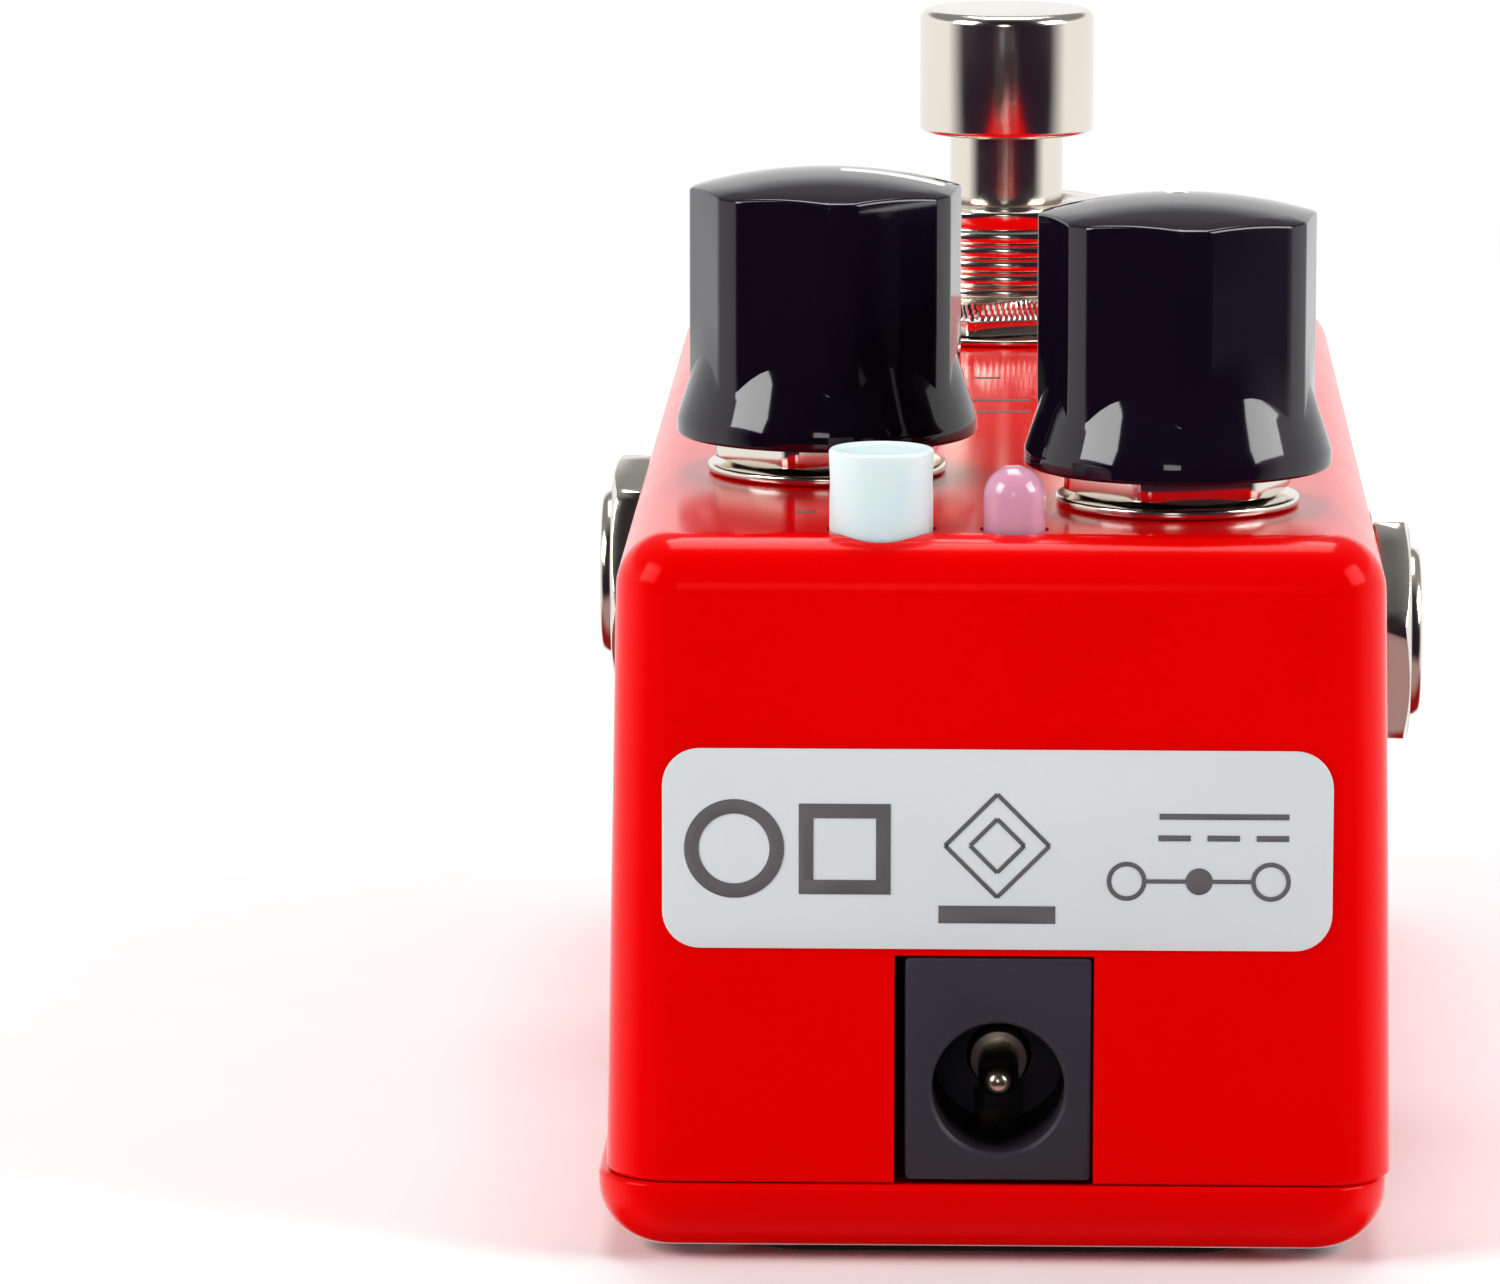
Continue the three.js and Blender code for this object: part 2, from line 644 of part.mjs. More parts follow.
// Drawn with its mouth towards +X. The left one is turned half round.
function addAudioJack(side) {
  const spot = station(0, JACK_Y[side], side === "left" ? Math.PI : 0);
  const alongX = (geometry) => geometry.rotateZ(Math.PI / 2).rotateY(Math.PI / 2).translate(0, 0, JACK_Z);

  const { inner, outer, boreR, barrelR, barrelEnd, plugEnd } = JACK;
  const bottom = MAIN_BOARD_Z + BOARD_THICKNESS + FIT;
  const box = block(outer - inner, 12.8, bottom, 31).translate((inner + outer) / 2, 0, 0);
  const bore = alongX(rod(boreR + 0.15, plugEnd, outer + 1));
  const springSlot = block(10.5, 2.4, JACK_Z, 30.4).translate(-4, 0, 0);
  add(`${side}_jack_housing`, cut(box, bore, springSlot), FINISH.blackPlastic, spot);

  const start = outer + FIT;
  const flangeEnd = outer + 0.5;
  const barrel = turned([
    [boreR, start],
    [5.8, start],
    [5.8, flangeEnd],
    [barrelR, flangeEnd],
    [barrelR, barrelEnd - 0.4],
    [barrelR - 0.4, barrelEnd],
    [boreR, barrelEnd],
    [boreR, start],
  ]);
  add(`${side}_jack_bushing`, alongX(barrel), FINISH.nickel, spot);

  const washer = ring(6.3, barrelR + 0.12, JACK_NUT.near - 0.33, JACK_NUT.near - FIT);
  add(`${side}_jack_washer`, alongX(washer), FINISH.nickel, spot);
  const { acrossFlats, near, far, cornerAngle } = JACK_NUT;
  const nut = hexNut(acrossFlats, barrelR + 0.12, near, far, cornerAngle);
  add(`${side}_jack_nut`, alongX(nut), FINISH.nickel, spot);

  // The tip contact is a bent leaf that dips towards the plug.
  const leaf = outline([
    [0.6, 29.4],
    [-5.6, 29.4],
    [-7.2, 27.4],
    [-8.7, 28.6],
    [-8.5, 28.9],
    [-7.2, 27.9],
    [-5.8, 29.75],
    [0.6, 29.75],
  ]);
  const contact = slab(leaf, -0.9, 0.9).rotateX(Math.PI / 2);
  add(`${side}_jack_tip_spring`, contact, FINISH.brass, spot);
}

// ---------------------------------------------------------------- power socket

// The body is a block with a round well, open to the front, with a pin standing in it.
function addPowerSocket() {
  const { width, bottom, top, front, depth, holeR, axisZ } = POWER;
  const intoBody = (geometry) => geometry.rotateX(-Math.PI / 2).translate(0, front, axisZ);
  const collarDepth = 6.7;
  const wellDepth = 7.8;
  const well = intoBody(rod(holeR, -1, wellDepth));
  const pinHole = intoBody(rod(1.6, wellDepth - 1, depth + 1, 14));
  const leafSlot = block(2.4, 9.2, 4.95, axisZ).translate(0, front + 6.5, 0);
  const box = block(width, depth, bottom, top).translate(0, front + depth / 2, 0);
  add("power_socket_housing", cut(box, well, pinHole, leafSlot), FINISH.blackPlastic);

  const pin = turned(
    [
      [0, 1],
      [0.5, 1.05],
      [0.72, 1.35],
      [0.72, 2],
      [0.98, 2.6],
      [0.98, collarDepth],
      [1.42, collarDepth],
      [1.42, depth],
      [0, depth],
    ],
    14,
  );
  add("power_socket_pin", intoBody(pin), FINISH.brass);

  const leaf = block(1.8, 8.4, 5.05, 5.35).translate(0, front + 6.5, 0);
  add("power_socket_contact", leaf, FINISH.brass);
}

// ---------------------------------------------------------------- footswitch

function addFootswitch() {
  const spot = station(0, FOOT.y);
  const { width, bottom, top, floor, cavityR } = FOOT_CASE;
  const travelRoom = 0.4;

  const housing = cut(block(width, width, bottom, top), rod(cavityR, bottom + floor, top + 1));
  add("footswitch_case", housing, FINISH.blackPlastic, spot);

  // The steel frame is a plate over the case with a flap down each side.
  const plateTop = FOOT_BARREL.bottom - FIT;
  const flapX = width / 2 + 0.4;
  const flap = () => block(0.6, width - 4, top - 6, plateTop);
  const frame = cut(
    join(
      block(width + 1.4, width, top + FIT, plateTop),
      flap().translate(flapX, 0, 0),
      flap().translate(-flapX, 0, 0),
    ),
    rod(FOOT.shaftR + RUN + 0.2, top - 1, plateTop + 1),
  );
  add("footswitch_frame", frame, FINISH.steel, spot);

  const boreR = FOOT.shaftR + RUN;
  const barrel = turned([
    [boreR, FOOT_BARREL.bottom],
    [7.2, FOOT_BARREL.bottom],
    [7.2, FOOT_BARREL.bottom + 0.6],
    [FOOT_BARREL.r, FOOT_BARREL.bottom + 0.6],
    [FOOT_BARREL.r, FOOT_BARREL.top - 0.2],
    [FOOT_BARREL.r - 0.2, FOOT_BARREL.top],
    [boreR, FOOT_BARREL.top],
    [boreR, FOOT_BARREL.bottom],
  ]);
  add("footswitch_bushing", barrel, FINISH.nickel, spot);

  const innerNutBottom = FOOT_BARREL.bottom + 0.6 + FIT;
  const threadR = FOOT_BARREL.r + 0.15;
  const innerNut = hexNut(FOOT_NUT.acrossFlats, threadR, innerNutBottom, innerNutBottom + 1.35, 20);
  add("footswitch_inner_nut", innerNut, FINISH.nickel, spot);

  const toothCount = 9;
  const teeth = Array.from({ length: toothCount }, (_, i) =>
    block(1.6, 0.9, 32.6, 33.2)
      .translate(7.6, 0, 0)
      .rotateZ((2 * Math.PI * i) / toothCount),
  );
  const lockWasher = join(ring(7.2, threadR, 32.6, 33.2), ...teeth);
  add("footswitch_lock_washer", lockWasher, FINISH.steel, spot);

  const washerTop = TOP_Z + FIT + FOOT_WASHER.thickness;
  const washer = ring(FOOT_WASHER.r, threadR, TOP_Z + FIT, washerTop, 36);
  add("footswitch_washer", washer, FINISH.nickel, spot);
  const nutBottom = washerTop + FIT;
  const nut = hexNut(
    FOOT_NUT.acrossFlats,
    threadR,
    nutBottom,
    nutBottom + FOOT_NUT.height,
    FOOT_NUT.cornerAngle,
  );
  add("footswitch_nut", nut, FINISH.nickel, spot);

  // The button and its shaft are one turned piece that ends in a stop flange inside the case.
  const flangeTop = top - travelRoom;
  const flangeBottom = flangeTop - 1;
  const floorTop = bottom + floor;
  const shaftEnd = floorTop + FOOT.travel + travelRoom;
  const { capR, capBottom, capTop, shaftR } = FOOT;
  const button = turned([
    [0, shaftEnd],
    [shaftR, shaftEnd],
    [shaftR, flangeBottom],
    [cavityR - 0.6, flangeBottom],
    [cavityR - 0.6, flangeTop],
    [shaftR, flangeTop],
    [shaftR, capBottom],
    [capR - 0.3, capBottom],
    [capR, capBottom + 0.3],
    [capR, capTop - 0.8],
    [capR - 0.25, capTop - 0.25],
    [capR - 0.9, capTop],
    [0, capTop],
  ]);
  add("footswitch_button", button, FINISH.nickel, spot);
  const spring = coilSpring(4.45, 0.35, floorTop + FIT, flangeBottom - FIT, 4);
  add("footswitch_spring", spring, FINISH.steel, spot);

  // The contact base closes the case from below and carries nine solder lugs.
  const baseTop = bottom - FIT;
  const baseBottom = baseTop - 1.5;
  const lugBottom = FOOT_BOARD_Z + BOARD_THICKNESS + FIT;
  const lugs = [-1, 0, 1].flatMap((column) =>
    [-1, 0, 1].map((row) =>
      block(2.1, 0.6, lugBottom, baseBottom + 0.5).translate(column * 4.8, row * 5.3, 0),
    ),
  );
  const base = join(block(width, width, baseBottom, baseTop), ...lugs);
  add("footswitch_terminals", base, FINISH.brass, spot);
}

addEnclosureBody();
addBottomLid();
addBasePad();
addLidScrews();
addRatingLabel();
addBoards();
addBoardHeader();
addAmplifierChip();
addFilterCapacitor();
addRibbonCable();
addPot("left");
addPot("right");
addPushButton();
addLamp();
addAudioJack("left");
addAudioJack("right");
addPowerSocket();
addFootswitch();

export default pedal;
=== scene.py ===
"""A compact guitar effects pedal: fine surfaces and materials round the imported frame, with a studio."""
import json
import math

import bmesh
import bpy
from mathutils import Matrix, Vector


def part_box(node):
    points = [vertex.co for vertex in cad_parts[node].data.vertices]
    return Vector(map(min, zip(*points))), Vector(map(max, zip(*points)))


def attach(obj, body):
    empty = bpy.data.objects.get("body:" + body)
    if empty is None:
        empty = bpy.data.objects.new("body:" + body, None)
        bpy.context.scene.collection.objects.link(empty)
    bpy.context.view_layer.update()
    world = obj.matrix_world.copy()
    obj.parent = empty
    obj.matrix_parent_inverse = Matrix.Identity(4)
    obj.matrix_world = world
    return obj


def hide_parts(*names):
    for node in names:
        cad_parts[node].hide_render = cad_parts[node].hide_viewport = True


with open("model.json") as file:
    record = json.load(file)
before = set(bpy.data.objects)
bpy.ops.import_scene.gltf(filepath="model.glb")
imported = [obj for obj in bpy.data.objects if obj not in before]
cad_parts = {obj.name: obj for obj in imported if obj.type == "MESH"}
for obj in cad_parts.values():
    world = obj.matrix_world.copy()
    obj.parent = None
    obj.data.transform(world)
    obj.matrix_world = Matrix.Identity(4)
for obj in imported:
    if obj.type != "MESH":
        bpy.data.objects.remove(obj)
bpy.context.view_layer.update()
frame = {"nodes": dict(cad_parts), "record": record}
scene = bpy.context.scene
MM = 0.001
TAU = 2 * math.pi

# ------------------------------------------------------------------ sizes, in millimetres

# Box and lid.
SEAM_Z = 4.06
SEAM_ROUND = 0.28
DRAFT = 0.55  # how far each wall of the box leans in from the seam to the top
SIDE_WALL = 1.7
TOP_WALL = 2.0
BODY_CORNER = 3.3
BODY_FILLET = 2.7
LID_CORNER = 3.8
LID_FILLET = 3.0
LID_FLOOR = 1.8
GAP = 0.05  # between pieces that would touch

# The posts in the box that take the lid screws, and the bosses in the lid round the same screws.
POST_R = 2.9
BOSS_R = 3.5
PILOT_R = 1.1
SCREW_R = 0.95
SCREW_THREAD_PITCH = 0.45

# Holes in the box.
POT_HOLE_R = 3.75
BUTTON_HOLE_R = 2.62
LAMP_HOLE_R = 1.66
FOOT_HOLE_R = 6.2
JACK_HOLE_R = 4.85
POWER_CUT_LEFT = 5.0  # from the socket's middle; on this side a gap shows
POWER_CUT_RIGHT = 4.58

# Knobs: a fluted barrel under a dome, on a flared skirt.
KNOB_FLUTES = 7
KNOB_RIDGE_R = 6.9
KNOB_RIDGE_HALF = math.radians(5.5)
KNOB_SKIRT_R = 7.53
KNOB_BAND = 0.8  # the upright band at the foot of the skirt
KNOB_SLOPE = math.tan(math.radians(18))
KNOB_DOME_R = 24.3
KNOB_FACING = {"left": math.radians(-6), "right": math.radians(95)}

# The white line on each knob, from its axis outwards.
POINTER_START = 0.7
POINTER_LENGTH = 5.2
POINTER_HALF = 0.55
POINTER_PROUD = 0.03

# Nuts on the potentiometers and on the audio sockets.
POT_BORE = 3.65
POT_NUT_ACROSS = 10
POT_NUT_CORNER = math.radians(12)
JACK_NUT_BORE = 4.65
JACK_NUT_ACROSS = 11.2
JACK_NUT_CORNER = math.radians(-99.75)

JACK_Z = 24.95
JACK_BORE = 3.25
JACK_THREAD_PITCH = 0.75

LAMP_R = 1.5

# Power socket.
POWER_AXIS_Z = 8.76
POWER_WELL_R = 3.2
POWER_WELL_DEPTH = 7.8
PIN_R = 0.98
PIN_BASE_R = 1.42
PIN_HOLE_R = 1.6

# Footswitch: its button with a flange inside the case, the thread it runs in, and the toothed nut.
CAP_R = 4.85
CAP_BOTTOM = 46.4
SHAFT_R = 3.15
FLANGE_R = 5.6
FLANGE = (28.1, 29.1)
THREAD_CREST = 5.95
THREAD_ROOT = 5.72
THREAD_PITCH = 0.79
NUT_ACROSS = 14
NUT_CORNER = math.radians(-103.6)
NUT_TEETH = 144
TOOTH_DEPTH = 0.2

# Label: its film, and places in its print from its middle.
LABEL_HEIGHT = 9.7
LABEL_CORNER = 1.8
PRINT_MM = 0.02
RING_Z = -1.48
RING_R = 0.95
DOT_R = 0.65
RING_LEFT_X = 6.2
DOT_X = 9.67
RING_RIGHT_X = 13.1


def box_mm(node):
    """The two corners of a frame node's box, in millimetres."""
    low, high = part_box(node)
    return low / MM, high / MM


def middle(node):
    low, high = box_mm(node)
    return (low + high) / 2


BODY_LOW, BODY_HIGH = box_mm("enclosure_body")
LID_LOW, LID_HIGH = box_mm("bottom_lid")
PAD_LOW, PAD_HIGH = box_mm("base_pad")
BODY_SIZE = BODY_HIGH - BODY_LOW
TOP_Z = BODY_HIGH.z
FOOT = middle("footswitch_button")
BUTTON = middle("button_cap")
LAMP = middle("lamp_lens")
KNOB = {side: middle(f"{side}_knob") for side in ("left", "right")}
POT = {side: middle(f"{side}_pot_nut") for side in ("left", "right")}

# ------------------------------------------------------------------ materials

TINT_MM = 9.0  # patches of slightly different colour
SMEAR_MM = 5.0  # patches of slightly different roughness
EDGE_BREAK_MM = 0.8  # breaks in the worn edges and in the painted edge highlight


def node(tree, kind, **inputs):
    made = tree.nodes.new(kind)
    for name, value in inputs.items():
        made.inputs[name.replace("_", " ")].default_value = value
    return made


def noise(tree, size_mm, detail=3.0, stretch=(1, 1, 1)):
    """Noise with features of about size_mm, stretched along the axes by the given factors."""
    place = tree.nodes.new("ShaderNodeTexCoord")
    mapping = tree.nodes.new("ShaderNodeMapping")
    mapping.inputs["Scale"].default_value = stretch
    texture = node(tree, "ShaderNodeTexNoise", Scale=1 / (size_mm * MM), Detail=detail)
    tree.links.new(place.outputs["Object"], mapping.inputs["Vector"])
    tree.links.new(mapping.outputs["Vector"], texture.inputs["Vector"])
    return texture.outputs["Fac"]


def ramp(tree, factor, low, high, start=0.35, stop=0.65):
    """Turns a factor into a number or colour between low and high."""
    made = tree.nodes.new("ShaderNodeValToRGB")
    made.color_ramp.elements[0].position = start
    made.color_ramp.elements[1].position = stop
    for element, value in zip(made.color_ramp.elements, (low, high)):
        element.color = (value, value, value, 1) if isinstance(value, float) else (*value, 1)
    tree.links.new(factor, made.inputs["Fac"])
    return made.outputs["Color"]


def toward(tree, factor, start, end):
    """Takes the colour of one socket over to a fixed colour or another socket, by the factor."""
    mix = tree.nodes.new("ShaderNodeMixRGB")
    if isinstance(end, tuple):
        mix.inputs["Color2"].default_value = (*end, 1)
    else:
        tree.links.new(end, mix.inputs["Color2"])
    tree.links.new(factor, mix.inputs["Fac"])
    tree.links.new(start, mix.inputs["Color1"])
    return mix.outputs["Color"]


def bump(tree, height, depth_mm):
    made = node(tree, "ShaderNodeBump", Strength=1.0, Distance=depth_mm * MM)
    tree.links.new(height, made.inputs["Height"])
    return made.outputs["Normal"]


def shader(name, color, varied, roughness, grain_mm, grain_depth_mm, stretch=(1, 1, 1), **sockets):
    """A Principled material: slow colour variation, uneven roughness and a fine grain in the normal."""
    material = bpy.data.materials.new(name)
    material.use_nodes = True
    tree = material.node_tree
    surface = tree.nodes["Principled BSDF"]
    for socket, value in sockets.items():
        surface.inputs[socket.replace("_", " ")].default_value = value
    tint = ramp(tree, noise(tree, TINT_MM), color, varied, 0.2, 0.8)
    tree.links.new(tint, surface.inputs["Base Color"])
    uneven = ramp(tree, noise(tree, SMEAR_MM, 4.0), roughness[0], roughness[1], 0.25, 0.75)
    tree.links.new(uneven, surface.inputs["Roughness"])
    normal = bump(tree, noise(tree, grain_mm, 2.0, stretch), grain_depth_mm)
    tree.links.new(normal, surface.inputs["Normal"])
    return material


def wear_and_edge_highlight(material, edge_tone, width_mm=0.25, amount=0.5):
    """Takes the colour over to another one along sharp edges, broken up by noise: wear on most materials, a
    painted highlight on the red paint.
    """
    tree = material.node_tree
    surface = tree.nodes["Principled BSDF"]
    bevel = node(tree, "ShaderNodeBevel", Radius=width_mm * MM)
    geometry = tree.nodes.new("ShaderNodeNewGeometry")
    dot = tree.nodes.new("ShaderNodeVectorMath")
    dot.operation = "DOT_PRODUCT"
    tree.links.new(bevel.outputs["Normal"], dot.inputs[0])
    tree.links.new(geometry.outputs["Normal"], dot.inputs[1])
    edge = ramp(tree, dot.outputs["Value"], amount, 0.0, 0.86, 0.99)
    broken = ramp(tree, noise(tree, EDGE_BREAK_MM, 6.0), 0.0, 1.0, 0.5, 0.62)
    both = tree.nodes.new("ShaderNodeMath")
    both.operation = "MULTIPLY"
    tree.links.new(edge, both.inputs[0])
    tree.links.new(broken, both.inputs[1])
    tint = surface.inputs["Base Color"].links[0].from_socket
    tree.links.new(toward(tree, both.outputs[0], tint, edge_tone), surface.inputs["Base Color"])
    return material


def red_paint():
    """Gloss paint that stays red in its own shine and turns pale only at a grazing angle."""
    paint = shader(
        "red_paint", (0.78, 0.0, 0.0), (0.74, 0.0, 0.0005), (0.13, 0.17), 0.9, 0.0025,
        Specular_IOR_Level=0.35, Specular_Tint=(1.0, 0.06, 0.06, 1.0),
    )
    # The lighter red along the edges is a painted highlight, not wear through the paint.
    return wear_and_edge_highlight(paint, (0.85, 0.01, 0.005), 0.3, 0.3)


def rubber():
    return shader("rubber", (0.016,) * 3, (0.03,) * 3, (0.75, 0.95), 0.35, 0.04)


def label_film():
    return shader("label_film", (0.64, 0.675, 0.69), (0.66, 0.69, 0.705), (0.3, 0.4), 0.5, 0.003)


def ink():
    return shader("ink", (0.085, 0.08, 0.082), (0.12, 0.11, 0.115), (0.85, 0.95), 0.12, 0.002)


def board_green():
    """A circuit board under clear solder resist."""
    return shader(
        "board_green", (0.012, 0.11, 0.04), (0.02, 0.16, 0.06), (0.3, 0.45), 0.6, 0.006, Coat_Weight=0.3
    )


def black_plastic():
    plastic = shader(
        "black_plastic", (0.028, 0.022, 0.034), (0.034, 0.027, 0.04), (0.42, 0.52), 0.18, 0.003,
        Specular_IOR_Level=0.3,
    )
    return wear_and_edge_highlight(plastic, (0.10, 0.09, 0.11), 0.15, 0.5)


def gloss_black():
    plastic = shader(
        "gloss_black", (0.004, 0.002, 0.007), (0.006, 0.003, 0.010), (0.05, 0.08), 2.2, 0.003
    )
    return wear_and_edge_highlight(plastic, (0.03, 0.025, 0.04), 0.12, 0.3)


def white_ink():
    return shader("white_ink", (0.86, 0.86, 0.84), (0.8, 0.8, 0.79), (0.3, 0.45), 0.3, 0.003)


def white_plastic():
    """Slightly blue, and it lets a little light in."""
    return shader(
        "white_plastic", (0.67, 0.83, 0.84), (0.70, 0.86, 0.87), (0.3, 0.4), 0.9, 0.004,
        Subsurface_Weight=0.35, Subsurface_Scale=2 * MM,
    )


def lamp_lens():
    """Milky pink resin."""
    return shader(
        "lamp_lens", (0.78, 0.40, 0.56), (0.84, 0.46, 0.62), (0.14, 0.2), 0.7, 0.003,
        Subsurface_Weight=0.5, Subsurface_Scale=1 * MM, Transmission_Weight=0.25, Coat_Weight=0.5,
    )


def nickel():
    plating = shader(
        "nickel", (0.80, 0.75, 0.66), (0.84, 0.79, 0.71), (0.11, 0.18), 0.25, 0.0012, (1, 1, 6),
        Metallic=1.0,
    )
    return wear_and_edge_highlight(plating, (0.85, 0.82, 0.78), 0.15, 0.6)


def steel():
    metal = shader(
        "steel", (0.42, 0.43, 0.45), (0.55, 0.55, 0.56), (0.25, 0.42), 0.3, 0.003, (1, 1, 5), Metallic=1.0
    )
    return wear_and_edge_highlight(metal, (0.75, 0.75, 0.76), 0.15, 0.6)


def brass():
    return shader(
        "brass", (0.86, 0.76, 0.55), (0.90, 0.80, 0.62), (0.22, 0.32), 0.25, 0.002, Metallic=1.0
    )


def capacitor_sleeve():
    return shader(
        "capacitor_sleeve", (0.02, 0.03, 0.09), (0.03, 0.04, 0.12), (0.25, 0.4), 0.6, 0.004
    )


def cable_grey():
    """Grey insulation, ribbed across by its wires."""
    return shader(
        "cable_grey", (0.24, 0.25, 0.27), (0.30, 0.31, 0.33), (0.5, 0.65), 1.2, 0.05, (1, 0.1, 0.1)
    )


MATERIAL_MAKERS = (
    red_paint, rubber, label_film, ink, board_green, black_plastic, gloss_black, white_ink,
    white_plastic, lamp_lens, nickel, steel, brass, capacitor_sleeve, cable_grey,
)
MATERIALS = {maker.__name__: maker() for maker in MATERIAL_MAKERS}

# ------------------------------------------------------------------ mesh helpers


def add_piece(name, mesh, slot, body="chassis", replaces=(), material=None, sharp=None):
    """Names a bmesh given in millimetres, dresses it and lets it ride on a CAD body."""
    bmesh.ops.remove_doubles(mesh, verts=mesh.verts, dist=0.0005)
    bmesh.ops.recalc_face_normals(mesh, faces=mesh.faces)
    bmesh.ops.scale(mesh, verts=mesh.verts, vec=(MM, MM, MM))
    data = bpy.data.meshes.new(name)
    mesh.to_mesh(data)
    mesh.free()
    data.shade_smooth()
    if sharp is not None:
        data.set_sharp_from_angle(angle=math.radians(sharp))
    data.materials.append(material or MATERIALS[slot])
    piece = bpy.data.objects.new(name, data)
    scene.collection.objects.link(piece)
    if replaces:
        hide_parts(*replaces)
    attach(piece, body)
    return piece


def move(mesh, matrix):
    bmesh.ops.transform(mesh, matrix=matrix, verts=mesh.verts)
    return mesh


def shifted(mesh, x=0.0, y=0.0, z=0.0):
    return move(mesh, Matrix.Translation((x, y, z)))


def merged(*meshes):
    """One bmesh that holds them all."""
    total = bmesh.new()
    for mesh in meshes:
        data = bpy.data.meshes.new("part")
        mesh.to_mesh(data)
        mesh.free()
        total.from_mesh(data)
        bpy.data.meshes.remove(data)
    return total


def polar(rows, angles, closed):
    """A solid round Z: rows(angle) gives (radius, height) pairs, a loop or a line from axis to axis."""
    mesh = bmesh.new()
    columns = []
    for angle in angles:
        direction = (math.cos(angle), math.sin(angle))
        columns.append([mesh.verts.new((r * direction[0], r * direction[1], z)) for r, z in rows(angle)])
    count = len(columns[0])
    for i, column in enumerate(columns):
        following = columns[(i + 1) % len(columns)]
        for j in range(count if closed else count - 1):
            k = (j + 1) % count
            mesh.faces.new((column[j], following[j], following[k], column[k]))
    bmesh.ops.remove_doubles(mesh, verts=mesh.verts, dist=0.0005)
    return mesh


def turned(profile, sides=96, closed=False):
    return polar(lambda angle: profile, [TAU * i / sides for i in range(sides)], closed)


def arc(cx, cz, radius, start, stop, steps=5):
    """Points of an arc in the profile plane, angles in degrees."""
    turns = [math.radians(start + (stop - start) * i / steps) for i in range(steps + 1)]
    return [(cx + radius * math.cos(t), cz + radius * math.sin(t)) for t in turns]


def rounded_ring(inner, outer, bottom, top, edge):
    """The closed section of a ring with all four edges rounded."""
    return (
        arc(inner + edge, bottom + edge, edge, -180, -90, 3)
        + arc(outer - edge, bottom + edge, edge, -90, 0, 3)
        + arc(outer - edge, top - edge, edge, 0, 90, 3)
        + arc(inner + edge, top - edge, edge, 90, 180, 3)
    )


def rounded_outline(width, length, radius, steps=10):
    points = []
    for quarter, (sx, sy) in enumerate(((1, 1), (-1, 1), (-1, -1), (1, -1))):
        for i in range(steps + 1):
            angle = math.radians(90 * (quarter + i / steps))
            x = sx * (width / 2 - radius) + radius * math.cos(angle)
            y = sy * (length / 2 - radius) + radius * math.sin(angle)
            points.append((x, y))
    return points


def stacked(levels):
    """A closed solid through a list of (outline, height) rings with the same number of points."""
    mesh = bmesh.new()
    rings = [[mesh.verts.new((x, y, z)) for x, y in outline] for outline, z in levels]
    for low, high in zip(rings, rings[1:]):
        for i in range(len(low)):
            j = (i + 1) % len(low)
            mesh.faces.new((low[i], low[j], high[j], high[i]))
    mesh.faces.new(list(reversed(rings[0])))
    mesh.faces.new(rings[-1])
    return mesh


def rounded_box(width, length, corner, bottom, top, bottom_round, top_round, lean=0.0, steps=6):
    """A box with rounded corners and edges whose walls lean in by `lean` from seam to top."""
    turns = [math.radians(90 * i / steps) for i in range(steps + 1)]
    rings = [(bottom_round * (1 - math.sin(t)), bottom + bottom_round * (1 - math.cos(t))) for t in turns]
    rings += [(top_round * (1 - math.cos(t)), top - top_round * (1 - math.sin(t))) for t in turns]
    levels = []
    for inset, z in rings:
        rise = (z - SEAM_Z) / (TOP_Z - SEAM_Z) * lean
        radius = max(corner - inset, 0.15)
        outline = rounded_outline(width - 2 * inset, length - 2 * inset, radius)
        scale = (1 - 2 * rise / BODY_SIZE.x, 1 - 2 * rise / BODY_SIZE.y)
        levels.append(([(x * scale[0], y * scale[1]) for x, y in outline], z))
    return stacked(levels)


def block(low, high, edge=0.0):
    """A box between two corners, its edges rounded."""
    mesh = bmesh.new()
    bmesh.ops.create_cube(mesh, size=1.0)
    low = Vector(low)
    high = Vector(high)
    bmesh.ops.scale(mesh, vec=high - low, verts=mesh.verts)
    bmesh.ops.translate(mesh, vec=(low + high) / 2, verts=mesh.verts)
    if edge:
        bmesh.ops.bevel(mesh, geom=mesh.edges[:], offset=edge, segments=2, profile=0.5, affect="EDGES")
    return mesh


def rod(radius, bottom, top, sides=64):
    return turned([(0, bottom), (radius, bottom), (radius, top), (0, top)], sides)


def boolean(piece, tools, operation="DIFFERENCE"):
    """Cuts a piece with bmesh tools in millimetres, or joins them to it."""
    for tool_mesh in tools:
        bmesh.ops.recalc_face_normals(tool_mesh, faces=tool_mesh.faces)
        bmesh.ops.scale(tool_mesh, verts=tool_mesh.verts, vec=(MM, MM, MM))
        data = bpy.data.meshes.new("tool")
        tool_mesh.to_mesh(data)
        tool_mesh.free()
        tool = bpy.data.objects.new("tool", data)
        scene.collection.objects.link(tool)
        modifier = piece.modifiers.new("cut", "BOOLEAN")
        modifier.operation = operation
        modifier.object = tool
        modifier.solver = "EXACT"
        apply_modifiers(piece)
        bpy.data.objects.remove(tool)
        bpy.data.meshes.remove(data)


def apply_modifiers(piece):
    bpy.context.view_layer.update()
    shaped = piece.evaluated_get(bpy.context.evaluated_depsgraph_get())
    data = bpy.data.meshes.new_from_object(shaped)
    piece.modifiers.clear()
    piece.data = data


def soften(piece, width_mm, sharp=30):
    """Rounds the edges a boolean left, then keeps flat faces looking flat."""
    bevel = piece.modifiers.new("soften", "BEVEL")
    bevel.width = width_mm * MM
    bevel.segments = 2
    bevel.limit_method = "ANGLE"
    bevel.angle_limit = math.radians(sharp)
    bevel.use_clamp_overlap = True
    bevel.harden_normals = False
    apply_modifiers(piece)
    piece.data.shade_smooth()
    piece.data.set_sharp_from_angle(angle=math.radians(45))
    weighted = piece.modifiers.new("weighted", "WEIGHTED_NORMAL")
    weighted.keep_sharp = True


